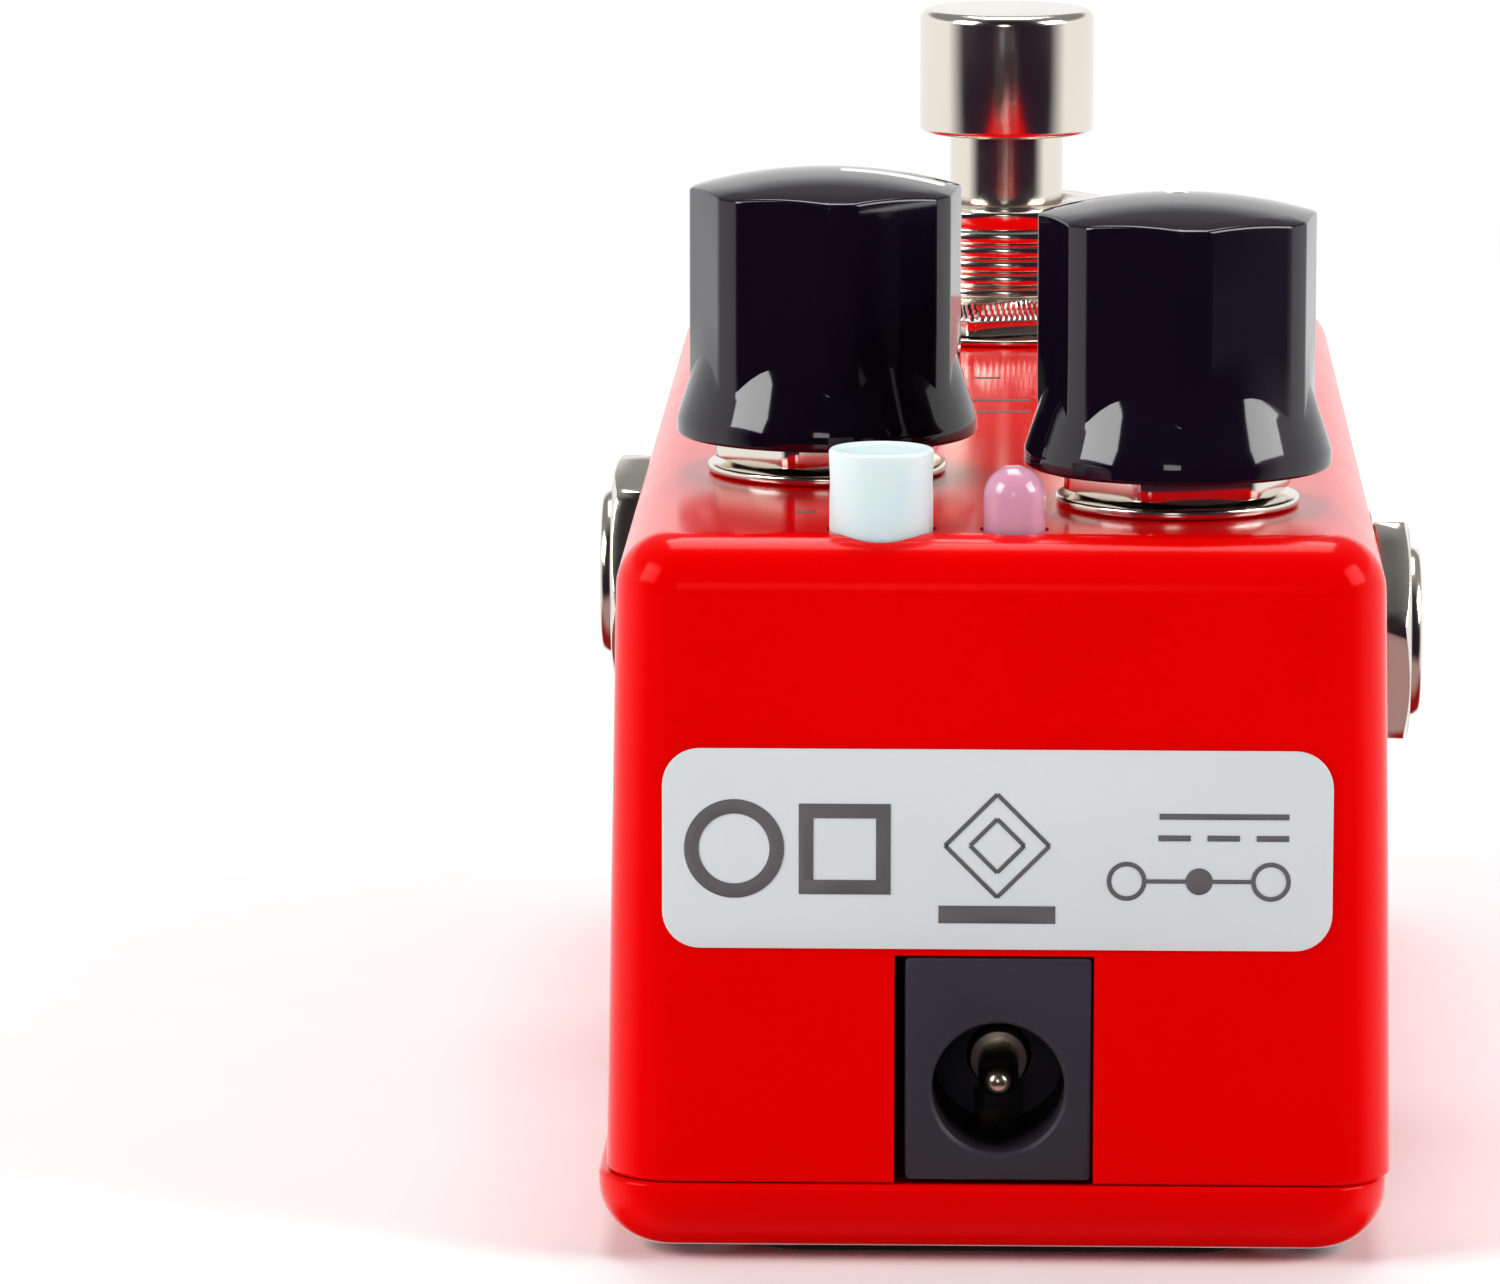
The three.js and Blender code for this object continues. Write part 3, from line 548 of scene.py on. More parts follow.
def toward_x(mesh, side):
    """Turns a piece made along Z to point out of the side wall, at its audio socket."""
    mesh = move(mesh, Matrix.Rotation(math.pi / 2, 4, "Y"))
    if side == "left":
        mesh = move(mesh, Matrix.Rotation(math.pi, 4, "Z"))
    return shifted(mesh, 0, middle(f"{side}_jack_nut").y, JACK_Z)


# ------------------------------------------------------------------ box, lid and pad


def lid_screw_places():
    return [middle(name) for name in frame["nodes"] if name.startswith("lid_screw")]


def through_top(radius, x, y):
    """A tool for a round hole in the top of the box."""
    return shifted(rod(radius, TOP_Z - 5, TOP_Z + 1), x, y)


def box_openings():
    """What passes through the box: five holes in its top, one in each side and one in its front."""
    socket = middle("power_socket_housing")
    socket_top = box_mm("power_socket_housing")[1].z
    return [
        through_top(POT_HOLE_R, KNOB["left"].x, KNOB["left"].y),
        through_top(POT_HOLE_R, KNOB["right"].x, KNOB["right"].y),
        through_top(BUTTON_HOLE_R, BUTTON.x, BUTTON.y),
        through_top(LAMP_HOLE_R, LAMP.x, LAMP.y),
        through_top(FOOT_HOLE_R, 0, FOOT.y),
        toward_x(rod(JACK_HOLE_R, 14, 22), "left"),
        toward_x(rod(JACK_HOLE_R, 14, 22), "right"),
        block(
            (socket.x - POWER_CUT_LEFT, -50, SEAM_Z - 1),
            (socket.x + POWER_CUT_RIGHT, -43, socket_top + 0.06),
        ),
    ]


def make_body():
    """The hollow box, leaning in towards its top, with its screw posts and openings."""
    width, length = BODY_SIZE.x, BODY_SIZE.y
    inner_corner = BODY_CORNER - SIDE_WALL + 0.4
    outer = rounded_box(width, length, BODY_CORNER, SEAM_Z, TOP_Z, SEAM_ROUND, BODY_FILLET, DRAFT, 10)
    inner = rounded_box(
        width - 2 * SIDE_WALL, length - 2 * SIDE_WALL, inner_corner,
        SEAM_Z - 2, TOP_Z - TOP_WALL, 0.2, inner_corner - 0.4, DRAFT, 4,
    )
    piece = add_piece("fine_body", outer, "red_paint", replaces=["enclosure_body"])
    screws = lid_screw_places()
    posts = [shifted(rod(POST_R, SEAM_Z + 0.1, TOP_Z - 1, 40), s.x, s.y) for s in screws]
    pilots = [shifted(rod(PILOT_R, SEAM_Z - 1, SEAM_Z + 10, 24), s.x, s.y) for s in screws]
    boolean(piece, [inner])
    boolean(piece, posts, "UNION")
    boolean(piece, pilots + box_openings())
    soften(piece, 0.14)


def make_lid():
    """The shallow tray under the box, with a boss and a sunk hole for each screw."""
    size = LID_HIGH - LID_LOW
    centre_x = (LID_HIGH.x + LID_LOW.x) / 2
    top = LID_HIGH.z
    outer = rounded_box(size.x, size.y, LID_CORNER, LID_LOW.z, top, LID_FILLET, SEAM_ROUND, 0, 10)
    piece = add_piece("fine_lid", shifted(outer, centre_x), "red_paint", replaces=["bottom_lid"])
    rim = SIDE_WALL + 0.1
    tray = rounded_box(size.x - 2 * rim, size.y - 2 * rim, 2.0, LID_LOW.z + LID_FLOOR, top + 1, 0.1, 0.1)
    screws = lid_screw_places()
    bosses = [shifted(rod(BOSS_R, LID_LOW.z + 1.2, top, 40), s.x, s.y) for s in screws]
    sink = [(0, -2), (2.36, -2), (2.36, 0.5), (1.15, 1.9), (1.15, 6), (0, 6)]
    holes = [shifted(turned(sink, 40), s.x, s.y) for s in screws]
    pad = PAD_HIGH - PAD_LOW
    recess = rounded_box(pad.x + 0.3, pad.y + 0.3, 3.1, -1, PAD_HIGH.z + GAP, 0.05, 0.05)
    boolean(piece, [shifted(tray, centre_x)])
    boolean(piece, bosses, "UNION")
    boolean(piece, holes + [recess])
    soften(piece, 0.12)


def make_pad():
    size = PAD_HIGH - PAD_LOW
    mesh = rounded_box(size.x, size.y, 3.0, PAD_LOW.z, PAD_HIGH.z, 0.2, 0.1, 0, 3)
    add_piece("fine_pad", mesh, "rubber", replaces=["base_pad"], sharp=50)


def lid_screw_profile(head_bottom):
    """A countersunk head on a threaded shank with a blunt point."""
    profile = [(0, head_bottom), (1.9, head_bottom)]
    profile += arc(2.1, head_bottom + 0.12, 0.12, -90, 30, 3)
    profile += [(SCREW_R, head_bottom + 1.35)]
    for i in range(16):
        start = head_bottom + 1.6 + SCREW_THREAD_PITCH * i
        profile += [(SCREW_R - 0.17, start), (SCREW_R, start + 0.2), (SCREW_R, start + 0.25)]
    return profile + [(0.6, head_bottom + 9.4), (0, head_bottom + 9.8)]


def make_lid_screws():
    head_bottom = LID_LOW.z + 0.1
    half = 1.25
    arm = 0.26
    deep = head_bottom + 0.9
    for name in [n for n in frame["nodes"] if n.startswith("lid_screw")]:
        place = middle(name)
        screw = shifted(turned(lid_screw_profile(head_bottom), 40), place.x, place.y)
        piece = add_piece("fine_" + name, screw, "steel", replaces=[name], sharp=40)
        crosses = [
            shifted(block((-half, -arm, -1), (half, arm, deep)), place.x, place.y),
            shifted(block((-arm, -half, -1), (arm, half, deep)), place.x, place.y),
        ]
        boolean(piece, crosses)
        piece.data.set_sharp_from_angle(angle=math.radians(40))


# ------------------------------------------------------------------ knobs and their nuts


def knob_angles():
    """Angles round the knob, closer together at the edges of the ridges."""
    step = TAU / KNOB_FLUTES
    close = math.radians(0.7)
    flat = step / 2 - KNOB_RIDGE_HALF
    crest = [KNOB_RIDGE_HALF * share for share in (-0.85, -0.4, 0.0, 0.4, 0.85)]
    edge = [KNOB_RIDGE_HALF - close, KNOB_RIDGE_HALF + close]
    across = [KNOB_RIDGE_HALF + flat * share for share in (0.12, 0.3, 0.5, 0.7, 0.9, 1.0)]
    half = edge + across
    around = sorted(set(crest + half + [-a for a in half[:-1]]))
    return [step * (i + 0.5) + offset for i in range(KNOB_FLUTES) for offset in around]


def knob_barrel_radius(angle):
    """Round on the ridges and flat between them."""
    step = TAU / KNOB_FLUTES
    from_ridge = abs((angle % step) - step / 2)
    if from_ridge <= KNOB_RIDGE_HALF:
        return KNOB_RIDGE_R
    apothem = KNOB_RIDGE_R * math.cos(step / 2 - KNOB_RIDGE_HALF)
    return apothem / math.cos(step / 2 - from_ridge)


def dome_z(radius, height):
    """How high the dome of a knob of this height stands at a radius."""
    return height - KNOB_DOME_R + math.sqrt(KNOB_DOME_R ** 2 - radius ** 2)


def knob_rows(angle, height):
    """The knob's section at one angle: hollow underside, flared skirt, barrel and dome."""
    radius = knob_barrel_radius(angle)
    meet = KNOB_BAND + (KNOB_SKIRT_R - radius) / KNOB_SLOPE
    rim = radius - 0.14
    skirt = KNOB_SKIRT_R
    rows = [(0, 3.2), (3.9, 3.2), (3.9, 1.3), (6.0, 1.3), (6.05, 0.1), (6.15, 0.0), (skirt - 0.3, 0.0)]
    rows += arc(skirt - 0.2, 0.2, 0.2, -70, 0, 3)
    rows += [(skirt, KNOB_BAND - 0.12), (skirt - 0.03, KNOB_BAND + 0.1)]
    for share in (0.25, 0.5, 0.75):
        z = KNOB_BAND + (meet - KNOB_BAND) * share
        rows.append((skirt - (z - KNOB_BAND) * KNOB_SLOPE, z))
    rows += [(radius + 0.012, meet - 0.04), (radius, meet + 0.02)]
    top = dome_z(radius, height)
    for share in (0.3, 0.65):
        rows.append((radius, meet + (top - meet) * share))
    rows += [(radius, top - 0.14), (radius - 0.02, top - 0.06), (radius - 0.07, top)]
    rows += [(rim, dome_z(rim, height))]
    rows += [(rim * share, dome_z(rim * share, height)) for share in (0.85, 0.7, 0.55, 0.4, 0.25, 0.1)]
    rows.append((0, height))
    return rows


def knob_place(side):
    """Where a knob's own frame stands, with its pointer along X."""
    low = box_mm(f"{side}_knob")[0]
    centre = POT[side]
    turn = Matrix.Rotation(KNOB_FACING[side], 4, "Z")
    return Matrix.Translation((centre.x, centre.y, low.z)) @ turn


def knob_height(side):
    low, high = box_mm(f"{side}_knob")
    return high.z - low.z


def make_knob(side):
    height = knob_height(side)
    mesh = move(polar(lambda angle: knob_rows(angle, height), knob_angles(), False), knob_place(side))
    name = f"{side}_knob"
    add_piece("fine_" + name, mesh, "gloss_black", f"{side}_knob_turning", [name])


def make_pointer(side):
    """The white line follows the knob's dome, sunk in it with its top a hair proud."""
    height = knob_height(side)
    half = POINTER_HALF
    stations = [POINTER_START + POINTER_LENGTH * i / 24 for i in range(25)]
    line = bmesh.new()
    rings = []
    for i, x in enumerate(stations):
        pinch = 0.7 if i in (0, len(stations) - 1) else 1.0
        section = (
            (-half * pinch, -0.2), (half * pinch, -0.2), (half * pinch, 0.0),
            (0.4 * half * pinch, POINTER_PROUD), (-0.4 * half * pinch, POINTER_PROUD), (-half * pinch, 0.0),
        )
        rings.append([line.verts.new((x, y, dome_z(math.hypot(x, y), height) + lift)) for y, lift in section])
    for before, after in zip(rings, rings[1:]):
        for i in range(6):
            line.faces.new((before[i], before[(i + 1) % 6], after[(i + 1) % 6], after[i]))
    line.faces.new(rings[0])
    line.faces.new(rings[-1])
    mesh = move(line, knob_place(side))
    replaced = [f"{side}_knob_pointer"]
    add_piece(f"fine_{side}_pointer", mesh, "white_ink", f"{side}_knob_turning", replaced, sharp=50)


def hex_radius(angle, across_flats, corner_angle):
    """How far a hexagon reaches at one angle, with its corners turned down a little."""
    sixth = math.pi / 3
    from_flat = (angle - corner_angle) % sixth - sixth / 2
    return min(across_flats / 2 / math.cos(from_flat), across_flats / 2 * 1.135)


def hex_angles(corner_angle, per_side=12):
    sixth = math.pi / 3
    return [corner_angle + sixth * (side + i / per_side) for side in range(6) for i in range(per_side)]


def nut_rows(angle, across, corner, bore, bottom, top, lower_chamfer):
    """A nut's closed section: the faces are turned down to a circle, which leaves curved flats."""
    radius = hex_radius(angle, across, corner)
    flat = across / 2 * 0.97
    fall = (radius - flat) * math.tan(math.radians(20))
    low_fall = fall if lower_chamfer else 0.04
    return [
        (bore + 0.25, bottom), (flat, bottom), (radius - 0.03, bottom + low_fall),
        (radius, bottom + low_fall + 0.06), (radius, top - fall - 0.06), (radius - 0.04, top - fall),
        (flat, top), (bore + 0.25, top), (bore, top - 0.25), (bore, bottom + 0.25),
    ]


def hex_nut(across, corner, bore, bottom, top, lower_chamfer):
    """A plain nut along Z, with a chamfer on its top and, if asked, one below."""
    return polar(
        lambda angle: nut_rows(angle, across, corner, bore, bottom, top, lower_chamfer),
        hex_angles(corner), True,
    )


def make_pot_washer(side):
    name = f"{side}_pot_washer"
    low, high = box_mm(name)
    washer = turned(rounded_ring(POT_BORE, (high.x - low.x) / 2, low.z, high.z, 0.14), 72, True)
    add_piece("fine_" + name, shifted(washer, POT[side].x, POT[side].y), "nickel", replaces=[name])


def make_pot_nut(side):
    name = f"{side}_pot_nut"
    low, high = box_mm(name)
    nut = hex_nut(POT_NUT_ACROSS, POT_NUT_CORNER, POT_BORE, low.z, high.z, True)
    piece = shifted(nut, POT[side].x, POT[side].y)
    add_piece("fine_" + name, piece, "nickel", replaces=[name], sharp=40)


# ------------------------------------------------------------------ push button and lamp


def make_button():
    """A slightly tapered cap with a shallow dish in its top and a square socket for the switch."""
    low, high = box_mm("button_cap")
    profile = [(0, low.z), (2.35, low.z), (2.45, low.z + 0.1), (2.5, low.z + 1.3), (2.5, high.z - 2.6)]
    profile += [(2.47, high.z - 1.5)]
    profile += arc(2.35, high.z - 0.18, 0.18, 0, 90, 4)
    profile += [(2.2, high.z - 0.01), (2.12, high.z - 0.07), (1.4, high.z - 0.1), (0, high.z - 0.1)]
    mesh = shifted(turned(profile, 80), BUTTON.x, BUTTON.y)
    piece = add_piece("fine_button", mesh, "white_plastic", "push_button", ["button_cap"])
    socket = block((-1.45, -1.45, low.z - 1), (1.45, 1.45, 37.2))
    boolean(piece, [shifted(socket, BUTTON.x, BUTTON.y)])
    piece.data.set_sharp_from_angle(angle=math.radians(50))


def make_lamp():
    """A domed lens with a collar at its foot."""
    low, high = box_mm("lamp_lens")
    profile = [(0, low.z), (1.8, low.z), (1.9, low.z + 0.1), (1.9, low.z + 0.9), (1.8, low.z + 1.0)]
    profile += [(LAMP_R + 0.02, low.z + 1.05), (LAMP_R, low.z + 1.2)]
    profile += arc(0, high.z - LAMP_R, LAMP_R, 0, 90, 14)
    mesh = shifted(turned(profile, 64), LAMP.x, LAMP.y)
    add_piece("fine_lamp", mesh, "lamp_lens", replaces=["lamp_lens"], sharp=50)


# ------------------------------------------------------------------ audio sockets


def reach_of(name):
    """How far out of the middle plane a node starts and ends."""
    low, high = box_mm(name)
    return sorted((abs(low.x), abs(high.x)))


def make_jack_bushing(side):
    """A flange, a thread and a rounded mouth round the socket's bore."""
    name = f"{side}_jack_bushing"
    start, end = reach_of(name)
    profile = [(JACK_BORE, start + 0.1), (5.7, start), (5.8, start + 0.1), (5.7, start + 0.45)]
    z = start + 0.7
    while z < end - JACK_THREAD_PITCH - 0.5:
        profile += [(4.3, z), (4.55, z + 0.3), (4.55, z + 0.42)]
        z += JACK_THREAD_PITCH
    profile += [(4.3, z), (4.4, end - 0.4)] + arc(4.05, end - 0.25, 0.25, 30, 90, 3)
    profile += [(JACK_BORE + 0.45, end), (JACK_BORE + 0.1, end - 0.3), (JACK_BORE, end - 0.55)]
    mesh = toward_x(turned(profile, 80, True), side)
    add_piece(f"fine_{side}_bushing", mesh, "nickel", replaces=[name], sharp=35)


def make_jack_nut(side):
    name = f"{side}_jack_nut"
    near, far = reach_of(name)
    nut = hex_nut(JACK_NUT_ACROSS, JACK_NUT_CORNER, JACK_NUT_BORE, near, far, False)
    add_piece(f"fine_{side}_nut", toward_x(nut, side), "nickel", replaces=[name], sharp=35)


def make_jack_washer(side):
    name = f"{side}_jack_washer"
    near, far = reach_of(name)
    washer = toward_x(turned(rounded_ring(4.75, 6.3, near, far, 0.1), 72, True), side)
    add_piece("fine_" + name, washer, "nickel", replaces=[name])


# ------------------------------------------------------------------ power socket


def into_socket():
    """The power socket's own frame: its axis is Z and points into the pedal, from the front face."""
    low, high = box_mm("power_socket_housing")
    turn = Matrix.Rotation(-math.pi / 2, 4, "X")
    return Matrix.Translation(((low.x + high.x) / 2, low.y, POWER_AXIS_Z)) @ turn


def make_power_socket():
    low, high = box_mm("power_socket_housing")
    axis_x = (low.x + high.x) / 2
    piece = add_piece(
        "fine_power_socket", block(low, high, 0.3), "black_plastic", replaces=["power_socket_housing"]
    )
    deep = POWER_WELL_DEPTH
    well = turned(
        [(0, -1), (3.45, -1), (3.35, 0.0), (POWER_WELL_R, 0.18), (POWER_WELL_R, deep), (0, deep)], 96
    )
    pin_hole = rod(PIN_HOLE_R, 7, 15, 32)
    slot = block((axis_x - 1.2, low.y + 4.5, 4.95), (axis_x + 1.2, low.y + 11.1, POWER_AXIS_Z - 1.6))
    boolean(piece, [move(well, into_socket()), move(pin_hole, into_socket()), slot])
    piece.data.shade_smooth()
    piece.data.set_sharp_from_angle(angle=math.radians(35))


def make_power_pin():
    """A pin with a round nose, a neck behind it and a wide base."""
    start = box_mm("power_socket_pin")[0].y - box_mm("power_socket_housing")[0].y
    profile = [(0, start)] + arc(0, start + 0.68, 0.68, -80, 0, 6)
    profile += [(0.70, start + 1.2), (0.9, start + 1.6), (PIN_R, start + 1.9), (PIN_R, 6.6)]
    profile += [(1.36, 6.65), (PIN_BASE_R, 6.75), (PIN_BASE_R, 13.9), (0, 13.9)]
    pin = move(turned(profile, 48), into_socket())
    add_piece("fine_power_pin", pin, "brass", replaces=["power_socket_pin"], sharp=40)


# ------------------------------------------------------------------ footswitch


def make_footswitch_button():
    """The cap, its shaft and the flange that holds it in, turned in one piece."""
    name = "footswitch_button"
    low, high = box_mm(name)
    profile = [(0, low.z), (SHAFT_R, low.z), (SHAFT_R, FLANGE[0]), (FLANGE_R, FLANGE[0])]
    profile += [(FLANGE_R, FLANGE[1]), (SHAFT_R, FLANGE[1]), (SHAFT_R, CAP_BOTTOM - 0.1)]
    profile += [(SHAFT_R + 0.1, CAP_BOTTOM)]
    profile += arc(CAP_R - 0.35, CAP_BOTTOM + 0.35, 0.35, -90, 0, 4)
    profile += arc(CAP_R - 0.55, high.z - 0.6, 0.55, 0, 90, 7)
    profile += [(3.2, high.z - 0.01), (2.4, high.z), (0, high.z)]
    mesh = shifted(turned(profile, 128), 0, FOOT.y)
    add_piece("fine_" + name, mesh, "nickel", "footswitch_plunger", [name], sharp=40)


def make_footswitch_bushing():
    """A flange under the top of the box and a thread with flat crests."""
    name = "footswitch_bushing"
    low, high = box_mm(name)
    crest, root = THREAD_CREST, THREAD_ROOT
    profile = [(3.4, low.z), (7.2, low.z), (7.2, low.z + 0.6), (root, low.z + 0.6)]
    z = low.z + 0.7
    while z < high.z - 1.4:
        profile += [(root, z), (crest - 0.03, z + 0.12), (crest, z + 0.16), (crest, z + 0.62)]
        profile += [(crest - 0.03, z + 0.66)]
        z += THREAD_PITCH
    profile += [(root, z), (root, high.z - 0.97), (crest - 0.1, high.z - 0.85)]
    profile += [(crest - 0.1, high.z - 0.25)] + arc(crest - 0.3, high.z - 0.2, 0.2, 0, 90, 3)
    profile += [(3.6, high.z), (3.4, high.z - 0.2)]
    mesh = shifted(turned(profile, 96, True), 0, FOOT.y)
    add_piece("fine_" + name, mesh, "nickel", replaces=[name], sharp=60)


def make_footswitch_washer():
    name = "footswitch_washer"
    low, high = box_mm(name)
    washer = turned(rounded_ring(6.1, (high.x - low.x) / 2, low.z, high.z, 0.12), 96, True)
    add_piece("fine_" + name, shifted(washer, 0, FOOT.y), "nickel", replaces=[name])


def make_footswitch_nut():
    """Columns are close together here, so that each tooth gets four."""
    name = "footswitch_nut"
    low, high = box_mm(name)
    nut = polar(
        lambda angle: serrated_nut_rows(angle, low.z, high.z), hex_angles(NUT_CORNER, 96), True
    )
    add_piece("fine_" + name, shifted(nut, 0, FOOT.y), "nickel", replaces=[name], sharp=50)


def serrated_nut_rows(angle, bottom, top):
    """A nut whose upper half carries fine slanted teeth over its flats."""
    radius = hex_radius(angle, NUT_ACROSS, NUT_CORNER)
    waist = bottom + 0.45 * (top - bottom)
    rows = [(6.3, bottom), (6.8, bottom), (radius - 0.05, bottom + 0.05), (radius, bottom + 0.12)]
    rows += [(radius, waist - 0.06), (radius - 0.12, waist)]
    for share in (0.1, 0.35, 0.6, 0.85):
        z = waist + (top - waist) * share
        tooth = abs((angle * NUT_TEETH / TAU + share) % 1.0 - 0.5) * 2
        rows.append((radius - 0.05 - TOOTH_DEPTH * tooth, z))
    rows += [(6.85, top), (6.3, top), (6.1, top - 0.2), (6.1, bottom + 0.2)]
    return rows


# ------------------------------------------------------------------ rating label


def flat_bar(x0, z0, x1, z1, width):
    """A straight printed stroke between two points of the label's own plane."""
    start, end = Vector((x0, z0, 0)), Vector((x1, z1, 0))
    length = (end - start).length
    mesh = block((0, -width / 2, 0), (length, width / 2, PRINT_MM))
    angle = math.atan2(z1 - z0, x1 - x0)
    return move(mesh, Matrix.Translation(start) @ Matrix.Rotation(angle, 4, "Z"))


def flat_ring(x, z, radius, width, sides=64):
    """A printed ring, or a disc where the width is the whole radius."""
    inner = max(radius - width, 0.0)
    if not inner:
        return shifted(rod(radius, 0, PRINT_MM, sides), x, z)
    section = [(inner, 0), (radius, 0), (radius, PRINT_MM), (inner, PRINT_MM)]
    return shifted(turned(section, sides, True), x, z)


def square_frame(x, z, half, width):
    """Four strokes round a square, the level ones long enough to fill the corners."""
    end = half + width / 2
    side = half - width / 2
    level = [flat_bar(x - end, z + h, x + end, z + h, width) for h in (-half, half)]
    upright = [flat_bar(x + h, z - side, x + h, z + side, width) for h in (-half, half)]
    return level + upright


def diamond(x, z, reach, width):
    """Four strokes round a square that stands on its corner."""
    corners = [(x + reach, z), (x, z + reach), (x - reach, z), (x, z - reach)]
    return [flat_bar(*start, *end, width) for start, end in zip(corners, corners[1:] + corners[:1])]


def label_place():
    """The label's own plane, on the leaning front wall."""
    centre = middle("rating_label")
    height = TOP_Z - SEAM_Z
    wall_y = BODY_LOW.y + (centre.z - SEAM_Z) / height * DRAFT
    turn = Matrix.Rotation(math.pi / 2 - math.atan(DRAFT / height), 4, "X")
    return Matrix.Translation((centre.x, wall_y, centre.z)) @ turn


def make_label_film():
    low, high = box_mm("rating_label")
    width = high.x - low.x
    outline = rounded_outline(width, LABEL_HEIGHT, LABEL_CORNER)
    inner = rounded_outline(width - 0.1, LABEL_HEIGHT - 0.1, LABEL_CORNER - 0.05)
    film = stacked([(outline, 0.03), (outline, 0.12), (inner, 0.15)])
    add_piece("fine_label", move(film, label_place()), "label_film", replaces=["rating_label"], sharp=60)


def lines_and_rings():
    """A solid line over a dashed one, and two rings and a dot joined by a line."""
    strokes = [flat_bar(7.75, 1.67, 13.95, 1.67, 0.28)]
    strokes += [flat_bar(7.7 + i * 2.35, 0.62, 9.25 + i * 2.35, 0.62, 0.28) for i in range(3)]
    strokes += [flat_ring(x, RING_Z, RING_R, 0.22) for x in (RING_LEFT_X, RING_RIGHT_X)]
    strokes.append(flat_ring(DOT_X, RING_Z, DOT_R, DOT_R))
    strokes.append(flat_bar(RING_LEFT_X + RING_R, RING_Z, DOT_X - DOT_R, RING_Z, 0.2))
    strokes.append(flat_bar(DOT_X + DOT_R, RING_Z, RING_RIGHT_X - RING_R, RING_Z, 0.2))
    return strokes


def make_label_print():
    """Plain shapes only: a ring, a square, two diamonds over a bar, and the lines and rings."""
    strokes = [flat_ring(-12.6, 0.0, 2.4, 0.7)]
    strokes += square_frame(-7.3, 0.0, 1.85, 0.7)
    strokes += diamond(0.0, 0.2, 2.5, 0.2)
    strokes += diamond(0.0, 0.2, 1.3, 0.2)
    strokes.append(flat_bar(-2.8, -3.15, 2.8, -3.15, 0.85))
    strokes += lines_and_rings()
    printed = shifted(merged(*strokes), 0, 0, 0.155)
    add_piece("label_print", move(printed, label_place()), "black_plastic", material=MATERIALS["ink"])


def make_top_marks():
    """Plain printed dashes on the top: three between the knobs and the footswitch, one at the button."""
    dashes = [
        flat_bar(-1.6, 10.6, -0.2, 10.6, 0.6), flat_bar(-1.7, 2.1, 1.4, 2.1, 0.7),
        flat_bar(-1.7, -2.1, 1.4, -2.1, 0.7), flat_bar(-10.0, -36.4, -9.0, -36.4, 0.6),
    ]
    printed = shifted(merged(*dashes), 0, 0, TOP_Z - 0.01)
    add_piece("top_marks", printed, "black_plastic", material=MATERIALS["ink"])


# ------------------------------------------------------------------ what stays from the frame


def dress_frame_nodes():
    """Gives every frame node the material of its slot; the replaced ones are hidden anyway."""
    slots = {part["node"]: part["material_slot"] for part in frame["record"]["subparts"]}
    for name, item in frame["nodes"].items():
        item.data.materials.clear()
        item.data.materials.append(MATERIALS[slots[name]])


# ------------------------------------------------------------------ studio, in metres

FLOOR_REACH = 3.0
FLOOR_REAR = 0.36  # past this edge the white backdrop takes over
AIM = Vector((0, 0, 0.02))

# What glossy pieces mirror.
DARK_ROOM = (0.02, 0.012, 0.024)
WHITE_BACKDROP = (1.0, 1.0, 1.0)
CEILING = (0.02, 0.02, 0.02)
TABLE_FRONT = (0.45, 0.28, 0.28)
TABLE_REAR = (0.3, 0.01, 0.01)  # reddened by the box over it

# Name, azimuth and elevation in degrees, distance, width, height and power in watts.
LIGHTS = (
    ("key_left", -64, 30, 0.8, 0.4, 0.4, 4.3),
    ("side_right", 72, 30, 0.8, 0.4, 0.4, 4.0),
    ("overhead", 180, 70, 0.9, 0.5, 0.5, 5.0),
    ("front_fill", -4, 15, 0.6, 0.12, 0.12, 0.16),
)

CAMERA_PLACE = (0.0011, -0.456, 0.101)
CAMERA_DOWN = math.radians(9.75)
CAMERA_TURN = math.radians(1.82)
CAMERA_LENS_MM = 209.5


def make_floor():
    """A pale table top that glossy pieces don't mirror: they see the world's own table."""
    mesh = bmesh.new()
    corners = [
        (-FLOOR_REACH, -FLOOR_REACH), (FLOOR_REACH, -FLOOR_REACH),
        (FLOOR_REACH, FLOOR_REAR), (-FLOOR_REACH, FLOOR_REAR),
    ]
    mesh.faces.new([mesh.verts.new((x, y, 0)) for x, y in corners])
    data = bpy.data.meshes.new("floor")
    mesh.to_mesh(data)
    mesh.free()
    floor = bpy.data.objects.new("floor", data)
    scene.collection.objects.link(floor)
    material = shader("floor", (0.88, 0.88, 0.88), (0.9, 0.9, 0.9), (0.7, 0.9), 30.0, 0.05)
    data.materials.append(material)
    floor.visible_glossy = False


def shifted_ramp(tree, factor, low, high, start, stop):
    """A ramp over a factor that runs from -1 to 1."""
    lift = tree.nodes.new("ShaderNodeMath")
    lift.operation = "MULTIPLY_ADD"
    lift.inputs[1].default_value = 0.5
    lift.inputs[2].default_value = 0.5
    tree.links.new(factor, lift.inputs[0])
    return ramp(tree, lift.outputs[0], low, high, (start + 1) / 2, (stop + 1) / 2)


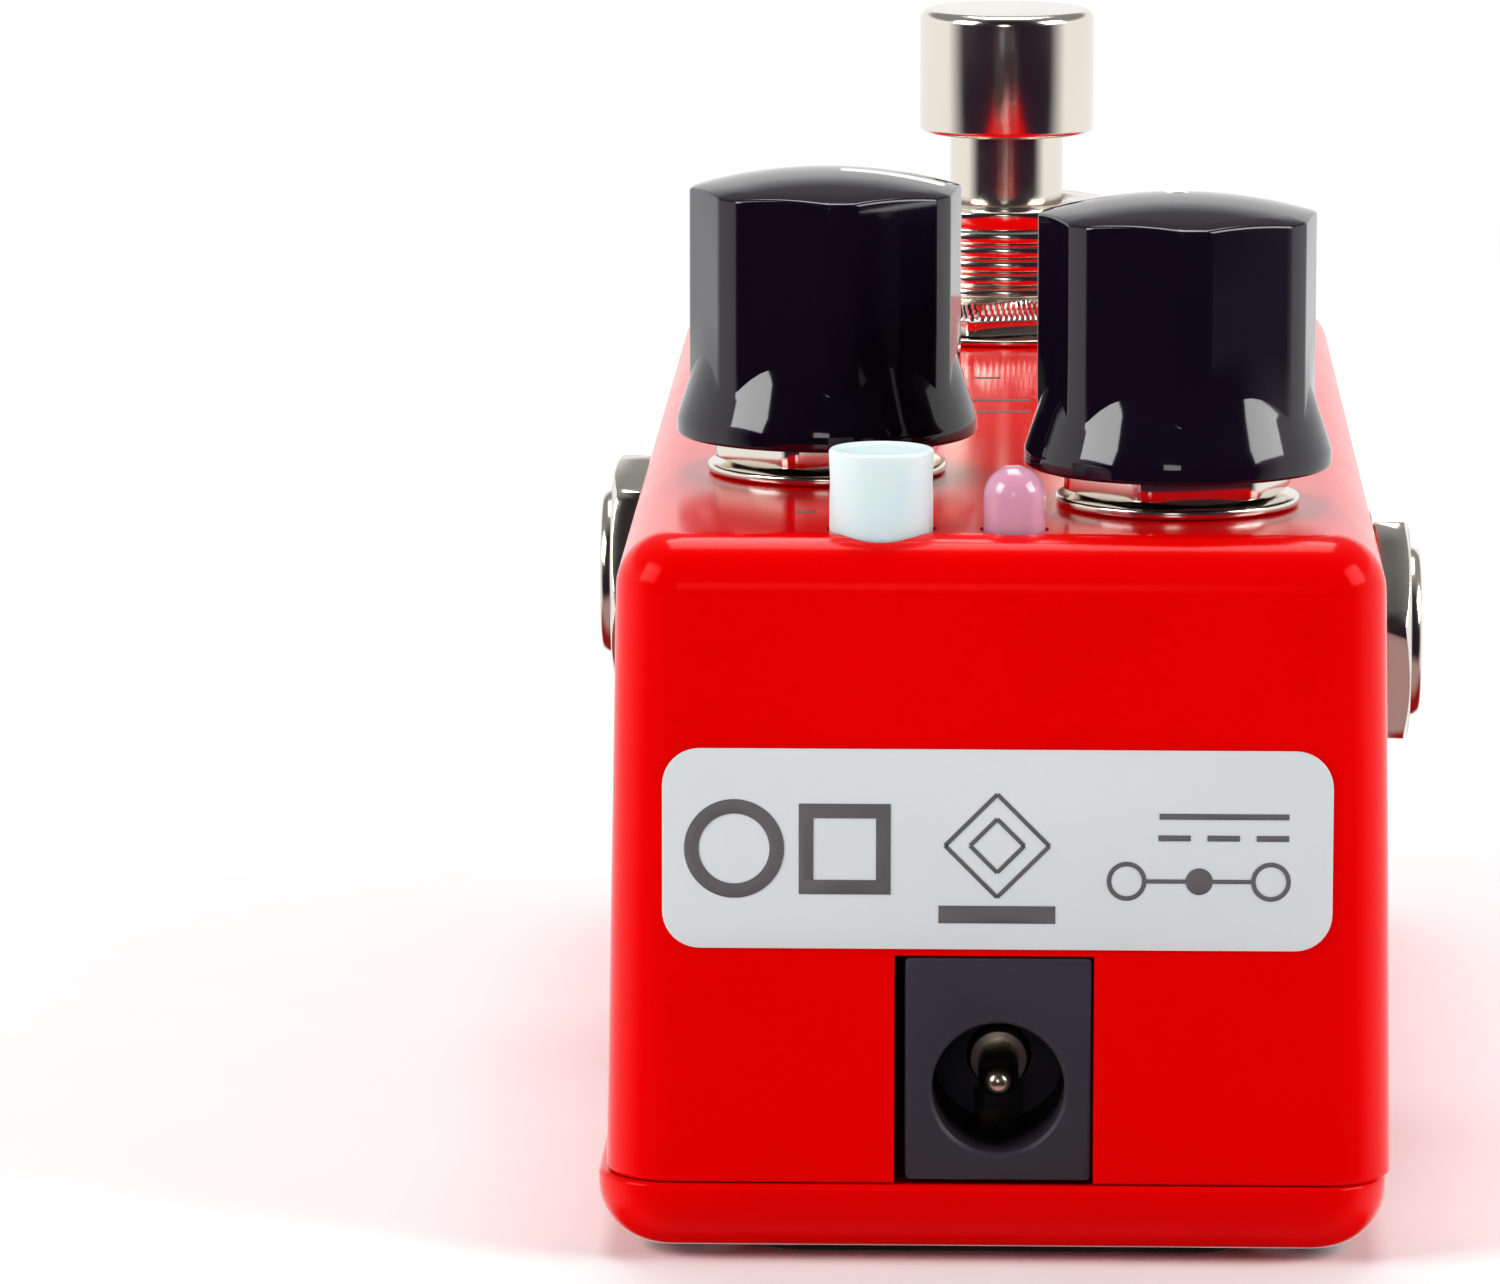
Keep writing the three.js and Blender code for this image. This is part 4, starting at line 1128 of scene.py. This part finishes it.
def make_world():
    """A white backdrop round the back and sides, dark on the camera's side, dim above, a table below."""
    world = bpy.data.worlds.new("studio")
    scene.world = world
    world.use_nodes = True
    tree = world.node_tree
    place = tree.nodes.new("ShaderNodeTexCoord")
    split = tree.nodes.new("ShaderNodeSeparateXYZ")
    tree.links.new(place.outputs["Generated"], split.inputs["Vector"])
    backdrop = shifted_ramp(tree, split.outputs["Y"], DARK_ROOM, WHITE_BACKDROP, -0.5, -0.1)
    above = shifted_ramp(tree, split.outputs["Z"], 0.0, 0.75, 0.3, 0.45)
    below = shifted_ramp(tree, split.outputs["Z"], 1.0, 0.0, -0.6, -0.4)
    table = shifted_ramp(tree, split.outputs["Y"], TABLE_FRONT, TABLE_REAR, -0.3, 0.2)
    color = toward(tree, below, toward(tree, above, backdrop, CEILING), table)
    background = tree.nodes["Background"]
    tree.links.new(color, background.inputs["Color"])
    background.inputs["Strength"].default_value = 1.0


def make_light(name, azimuth, elevation, distance, width, height, power):
    """A softbox aimed at the object. Azimuth 0 is the camera's side, positive towards +X."""
    light = bpy.data.lights.new(name, "AREA")
    light.shape = "RECTANGLE"
    light.size = width
    light.size_y = height
    light.energy = power
    item = bpy.data.objects.new(name, light)
    turn = math.radians(azimuth)
    lift = math.radians(elevation)
    flat = math.cos(lift)
    item.location = AIM + distance * Vector((math.sin(turn) * flat, -math.cos(turn) * flat, math.sin(lift)))
    item.rotation_euler = (AIM - item.location).to_track_quat("-Z", "Y").to_euler()
    scene.collection.objects.link(item)


def make_camera():
    """A long lens, a little above the pedal and looking down at its power socket end."""
    camera = bpy.data.cameras.new("camera")
    camera.sensor_width = 36
    camera.lens = CAMERA_LENS_MM
    camera.clip_start = 0.01
    item = bpy.data.objects.new("camera", camera)
    item.location = CAMERA_PLACE
    item.rotation_euler = (math.pi / 2 - CAMERA_DOWN, 0, CAMERA_TURN)
    scene.collection.objects.link(item)
    scene.camera = item


make_camera()
make_world()
make_floor()
for light_settings in LIGHTS:
    make_light(*light_settings)
scene.view_settings.view_transform = "Standard"

dress_frame_nodes()
make_body()
make_lid()
make_pad()
make_lid_screws()
for each_side in ("left", "right"):
    make_knob(each_side)
    make_pointer(each_side)
for each_side in ("left", "right"):
    make_pot_washer(each_side)
    make_pot_nut(each_side)
make_button()
make_lamp()
for each_side in ("left", "right"):
    make_jack_bushing(each_side)
    make_jack_nut(each_side)
    make_jack_washer(each_side)
make_power_socket()
make_power_pin()
make_footswitch_button()
make_footswitch_bushing()
make_footswitch_washer()
make_footswitch_nut()
make_label_film()
make_label_print()
make_top_marks()
